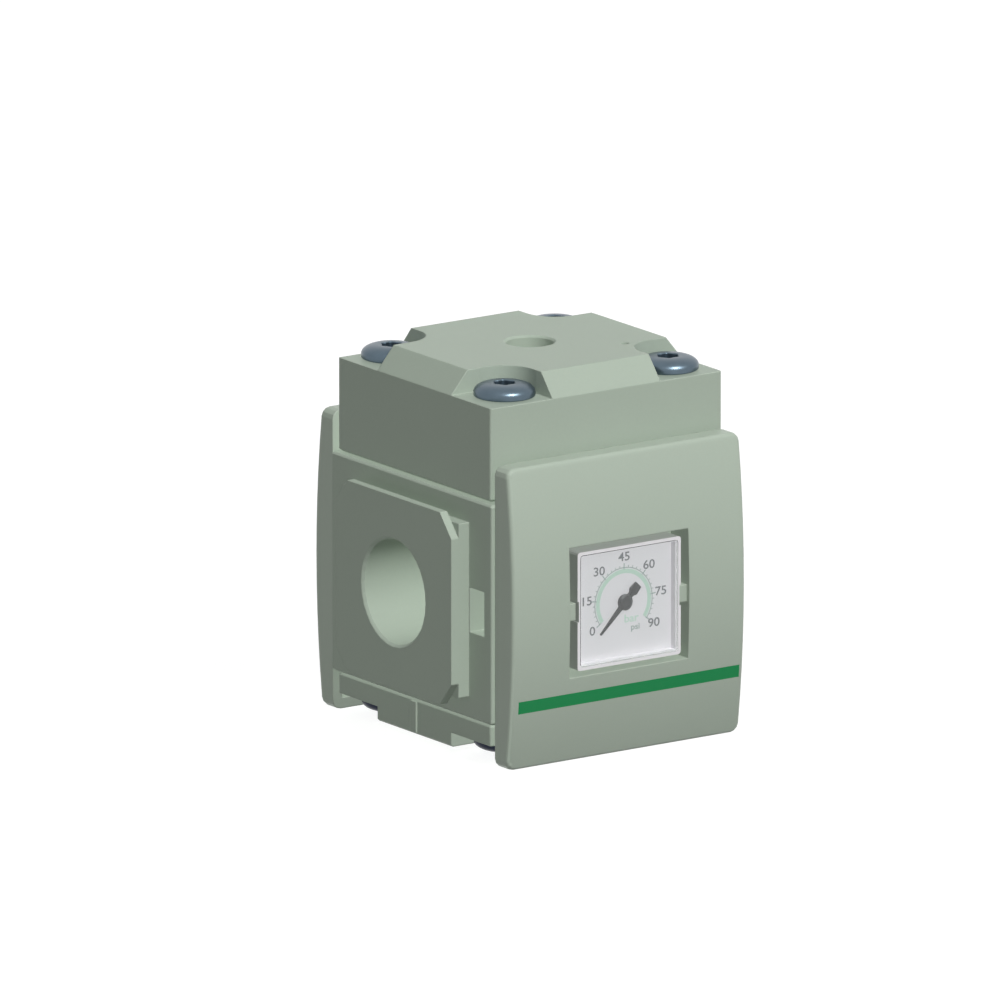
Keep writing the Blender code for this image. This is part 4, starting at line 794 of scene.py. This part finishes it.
def makeSpring(look=springLook):
    low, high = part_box("valve_spring")
    wire = look["wire"] / 2
    mean = (high.x - low.x) / 2 - wire
    middle = (low + high) / 2
    bottom, top = low.z + wire, high.z - wire
    count = int(look["turns"] * look["pointsPerTurn"])
    rings = []
    for i in range(count + 1):
        turn = look["turns"] * i / count
        # the first and last part turns lie flat, a wire apart
        flat = look["closed"]
        free = (turn - flat) / (look["turns"] - 2 * flat)
        share = min(max(free, 0.0), 1.0)
        ends = look["wire"] * flat
        climb = min(turn, flat) / flat * ends
        climb += max(turn - (look["turns"] - flat), 0.0) / flat * ends
        height = bottom + climb + share * (top - bottom - 2 * ends)
        angle = 2 * math.pi * turn
        out = Vector((math.cos(angle), math.sin(angle), 0))
        centre = Vector((middle.x, middle.y, height)) + out * mean
        ring = []
        for j in range(look["around"]):
            side = 2 * math.pi * j / look["around"]
            ring.append(centre + out * wire * math.cos(side) + Vector((0, 0, wire * math.sin(side))))
        rings.append(ring)
    bm = bmesh.new()
    loftRings(bm, rings)
    piece = pieceOf("dressed_valve_spring", bm, materials["spring_steel"],
                    bodyOfNode("valve_spring"))
    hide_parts("valve_spring")
    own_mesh(piece)


makeSpring()
print("spring made")


# Dial printing: a scale ring, its ticks, the numbers and the unit

dialLook = {
    "ringRadius": 6.3 * mm,
    "ringWidth": 0.16 * mm,
    "bandRadius": 5.65 * mm,
    "bandWidth": 0.8 * mm,
    "tickInner": 5.9 * mm,
    "tickOuter": 7.1 * mm,
    "smallTickOuter": 6.75 * mm,
    "tickWidth": 0.2 * mm,
    "numberRadius": 8.25 * mm,
    "numberSize": 2.3 * mm,
    "numberStretch": 1.15,
    "inkSpread": 0.012,
    "outerUnit": (2.6 * mm, -5.0 * mm, 1.6 * mm),
    "innerUnit": (1.7 * mm, -3.3 * mm, 2.1 * mm),
    "startAngle": 214.0,
    "sweep": 250.0,
    "highest": 90,
    "step": 15,
    "smallPerStep": 5,
    "inkThickness": 0.02 * mm,
    "inkGap": 0.005 * mm,
    "ringSteps": 90,
    "surroundWidth": 0.25 * mm,
    "surroundGap": 0.03 * mm,
}

dialLow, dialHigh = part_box("gauge_dial")
dialMiddle = (dialLow + dialHigh) / 2
inkBack = dialLow.y - dialLook["inkGap"]
inkFront = inkBack - dialLook["inkThickness"]


def dialPoint(radius, degrees):
    angle = math.radians(degrees)
    return dialMiddle.x + radius * math.cos(angle), dialMiddle.z + radius * math.sin(angle)


def addInkPatch(bm, outline):
    # a thin closed slab of ink over an outline of (x, z) points
    rings = [[(x, y, z) for x, z in outline] for y in (inkBack, inkFront)]
    loftRings(bm, rings)


def scaleAngle(value, look=dialLook):
    return look["startAngle"] - look["sweep"] * value / look["highest"]


def makeScaleRing(name, radius, width, ink, look=dialLook):
    bm = bmesh.new()
    steps = look["ringSteps"]
    angles = [look["startAngle"] - look["sweep"] * i / steps for i in range(steps + 1)]
    outline = [dialPoint(radius + width / 2, angle) for angle in angles]
    outline += [dialPoint(radius - width / 2, angle) for angle in reversed(angles)]
    addInkPatch(bm, outline)
    return pieceOf(name, bm, ink, "housing")


def makeSurround(look=dialLook):
    # the white rim between the dial and the lens
    lensLow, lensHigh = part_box("gauge_lens")
    gap, width = look["surroundGap"], look["surroundWidth"]
    near, far = dialLow.y - gap, lensHigh.y + gap
    loops = []
    for inset, y in ((0, near), (0, far), (width, far), (width, near)):
        halfX = (dialHigh.x - dialLow.x) / 2 - inset
        halfZ = (dialHigh.z - dialLow.z) / 2 - inset
        loops.append([(dialMiddle.x + sx * halfX, y, dialMiddle.z + sz * halfZ)
                      for sx, sz in ((-1, -1), (1, -1), (1, 1), (-1, 1))])
    bm = bmesh.new()
    loftRings(bm, [*loops, loops[0]], False, False)
    bmesh.ops.remove_doubles(bm, verts=bm.verts, dist=1e-7)
    return pieceOf("dial_surround", bm, materials["dial_white"], "housing")


def makeTicks(look=dialLook):
    bm = bmesh.new()
    count = look["highest"] // look["step"] * look["smallPerStep"]
    for i in range(count + 1):
        degrees = look["startAngle"] - look["sweep"] * i / count
        isLong = i % look["smallPerStep"] == 0
        outer = look["tickOuter"] if isLong else look["smallTickOuter"]
        half = look["tickWidth"] / 2 * (1.0 if isLong else 0.7)
        along = Vector((math.cos(math.radians(degrees)), math.sin(math.radians(degrees))))
        across = Vector((-along.y, along.x))
        centre = Vector((dialMiddle.x, dialMiddle.z))
        inner = look["tickInner"] if isLong else look["ringRadius"]
        outline = [centre + along * r + across * half * s
                   for r, s in ((inner, -1), (outer, -1), (outer, 1), (inner, 1))]
        addInkPatch(bm, [(p.x, p.y) for p in outline])
    return pieceOf("dial_ticks", bm, scaleInk, "housing")


def makeInkText(name, text, size, x, z, ink, look=dialLook):
    curve = bpy.data.curves.new(name, "FONT")
    curve.body = text
    curve.size = size
    curve.align_x = "CENTER"
    curve.align_y = "CENTER"
    curve.resolution_u = 4
    curve.extrude = look["inkThickness"] / 2
    curve.offset = look["inkSpread"] * size
    maker = bpy.data.objects.new(name, curve)
    bpy.context.scene.collection.objects.link(maker)
    bpy.context.view_layer.update()
    graph = bpy.context.evaluated_depsgraph_get()
    mesh = bpy.data.meshes.new_from_object(maker.evaluated_get(graph))
    bpy.data.objects.remove(maker, do_unlink=True)
    widen = Matrix.Diagonal((look["numberStretch"], 1.0, 1.0, 1.0))
    stand = Matrix.Translation((x, (inkBack + inkFront) / 2, z)) @ Matrix.Rotation(
        math.radians(90), 4, "X")
    mesh.transform(stand @ widen)
    mesh.name = name
    mesh.materials.clear()
    mesh.materials.append(ink)
    piece = bpy.data.objects.new(name, mesh)
    bpy.context.scene.collection.objects.link(piece)
    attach(piece, "housing")
    return piece


makeScaleRing("dial_scale_ring", dialLook["ringRadius"], dialLook["ringWidth"], scaleInk)
makeScaleRing("dial_green_band", dialLook["bandRadius"], dialLook["bandWidth"], paleGreenInk)
makeTicks()
makeSurround()
for value in range(0, dialLook["highest"] + 1, dialLook["step"]):
    x, z = dialPoint(dialLook["numberRadius"], scaleAngle(value))
    makeInkText(f"dial_number_{value}", str(value), dialLook["numberSize"], x, z, numberInk)
for name, text, place, ink in (("dial_outer_unit", "psi", dialLook["outerUnit"], scaleInk),
                               ("dial_inner_unit", "bar", dialLook["innerUnit"], paleGreenInk)):
    makeInkText(name, text, place[2], dialMiddle.x + place[0], dialMiddle.z + place[1], ink)
print("dial printed")


# Floor, light and camera

studio = {
    "floorHalf": 1.6,
    "floorDrop": 0.05 * mm,
    "floorColor": (0.20, 0.20, 0.20),
    "seenFloorColor": (1.0, 1.0, 1.0),
    "floorGlow": 0.09,
    "ambient": 0.09,
    "sunAngle": 24.0,
    "keyFrom": (0.22, -0.69, 0.69),
    "keyStrength": 0.35,
    "fills": {"frontFill": ((0.0, -0.70, 0.74), 3.4, True),
              "leftFill": ((-0.95, -0.10, 0.0), 0.6, False),
              "backFill": ((0.60, 0.75, 0.0), 1.3, False)},
}


def makeFloor(look=studio):
    half = look["floorHalf"]
    bm = bmesh.new()
    z = -look["floorDrop"]
    bm.faces.new([bm.verts.new((x * half, y * half, z))
                  for x, y in ((-1, -1), (1, -1), (1, 1), (-1, 1))])
    mesh = bpy.data.meshes.new("floor")
    bm.to_mesh(mesh)
    bm.free()
    floor = bpy.data.objects.new("floor", mesh)
    bpy.context.scene.collection.objects.link(floor)
    material, tree, shader = newMaterial("floorPaint", Roughness=0.9)
    shader.inputs["Specular IOR Level"].default_value = 0.1
    path = addNode(tree, "ShaderNodeLightPath")
    seen = mathNode(tree, "MAXIMUM", path.outputs["Is Camera Ray"], path.outputs["Is Glossy Ray"])
    seen = mathNode(tree, "MAXIMUM", seen, path.outputs["Is Transmission Ray"])
    tree.links.new(mixColor(tree, seen, look["floorColor"], look["seenFloorColor"]),
                   shader.inputs["Base Color"])
    shader.inputs["Emission Color"].default_value = (1.0, 1.0, 1.0, 1.0)
    tree.links.new(mathNode(tree, "MULTIPLY", seen, look["floorGlow"]),
                   shader.inputs["Emission Strength"])
    below = addNode(tree, "ShaderNodeNewGeometry").outputs["Backfacing"]
    clear = addNode(tree, "ShaderNodeBsdfTransparent")
    mixed = addNode(tree, "ShaderNodeMixShader")
    tree.links.new(below, mixed.inputs[0])
    tree.links.new(shader.outputs[0], mixed.inputs[1])
    tree.links.new(clear.outputs[0], mixed.inputs[2])
    tree.links.new(mixed.outputs[0], tree.nodes["Material Output"].inputs["Surface"])
    mesh.materials.append(material)


def makeWorld(look=studio):
    world = bpy.data.worlds.new("studioWorld")
    bpy.context.scene.world = world
    world.use_nodes = True
    tree = world.node_tree
    background = tree.nodes["Background"]
    background.inputs["Color"].default_value = (1.0, 1.0, 1.0, 1.0)
    path = addNode(tree, "ShaderNodeLightPath")
    seen = mathNode(tree, "MAXIMUM", path.outputs["Is Camera Ray"], path.outputs["Is Glossy Ray"])
    seen = mathNode(tree, "MAXIMUM", seen, path.outputs["Is Transmission Ray"])
    strength = mathNode(tree, "ADD", mathNode(tree, "MULTIPLY", seen, 1.0 - look["ambient"]),
                        look["ambient"])
    tree.links.new(strength, background.inputs["Strength"])


def makeSun(name, comesFrom, strength, castsShadow, shows=True, look=studio):
    light = bpy.data.lights.new(name, "SUN")
    light.angle = math.radians(look["sunAngle"])
    light.energy = strength
    light.use_shadow = castsShadow
    lamp = bpy.data.objects.new(name, light)
    lamp.visible_glossy = shows
    toLamp = Vector(comesFrom).normalized()
    lamp.location = (cadLow + cadHigh) / 2 + toLamp
    lamp.rotation_mode = "QUATERNION"
    lamp.rotation_quaternion = (-toLamp).to_track_quat("-Z", "Y")
    bpy.context.scene.collection.objects.link(lamp)


photoCamera = {
    "azimuth": -34.9,
    "elevation": 13.9,
    "lens": 1000.0,
    "sensor": 36.0,
    "metresPerPixel": 0.000181,
    "imageHeight": 1000,
    "aimX": 0.81 * mm,
    "aimY": 11.02 * mm,
    "aimZ": 38.40 * mm,
}


def makeCamera(look=photoCamera):
    data = bpy.data.cameras.new("photoCamera")
    data.lens = look["lens"]
    data.sensor_width = look["sensor"]
    distance = look["metresPerPixel"] * look["imageHeight"] * look["lens"] / look["sensor"]
    azimuth, elevation = math.radians(look["azimuth"]), math.radians(look["elevation"])
    back = Vector((math.sin(azimuth) * math.cos(elevation),
                   -math.cos(azimuth) * math.cos(elevation), math.sin(elevation)))
    camera = bpy.data.objects.new("photoCamera", data)
    camera.location = Vector((look["aimX"], look["aimY"], look["aimZ"])) + back * distance
    camera.rotation_mode = "QUATERNION"
    camera.rotation_quaternion = (-back).to_track_quat("-Z", "Y")
    data.clip_start = distance * 0.1
    data.clip_end = distance * 4
    bpy.context.scene.collection.objects.link(camera)
    bpy.context.scene.camera = camera


makeFloor()
makeWorld()
makeSun("keyLight", studio["keyFrom"], studio["keyStrength"], True)
# the photograph shows no shadows inside the recesses, so the fills cast none
for name, (comesFrom, strength, shows) in studio["fills"].items():
    makeSun(name, comesFrom, strength, False, shows)
makeCamera()
bpy.context.scene.view_settings.view_transform = "Standard"
print("studio set")
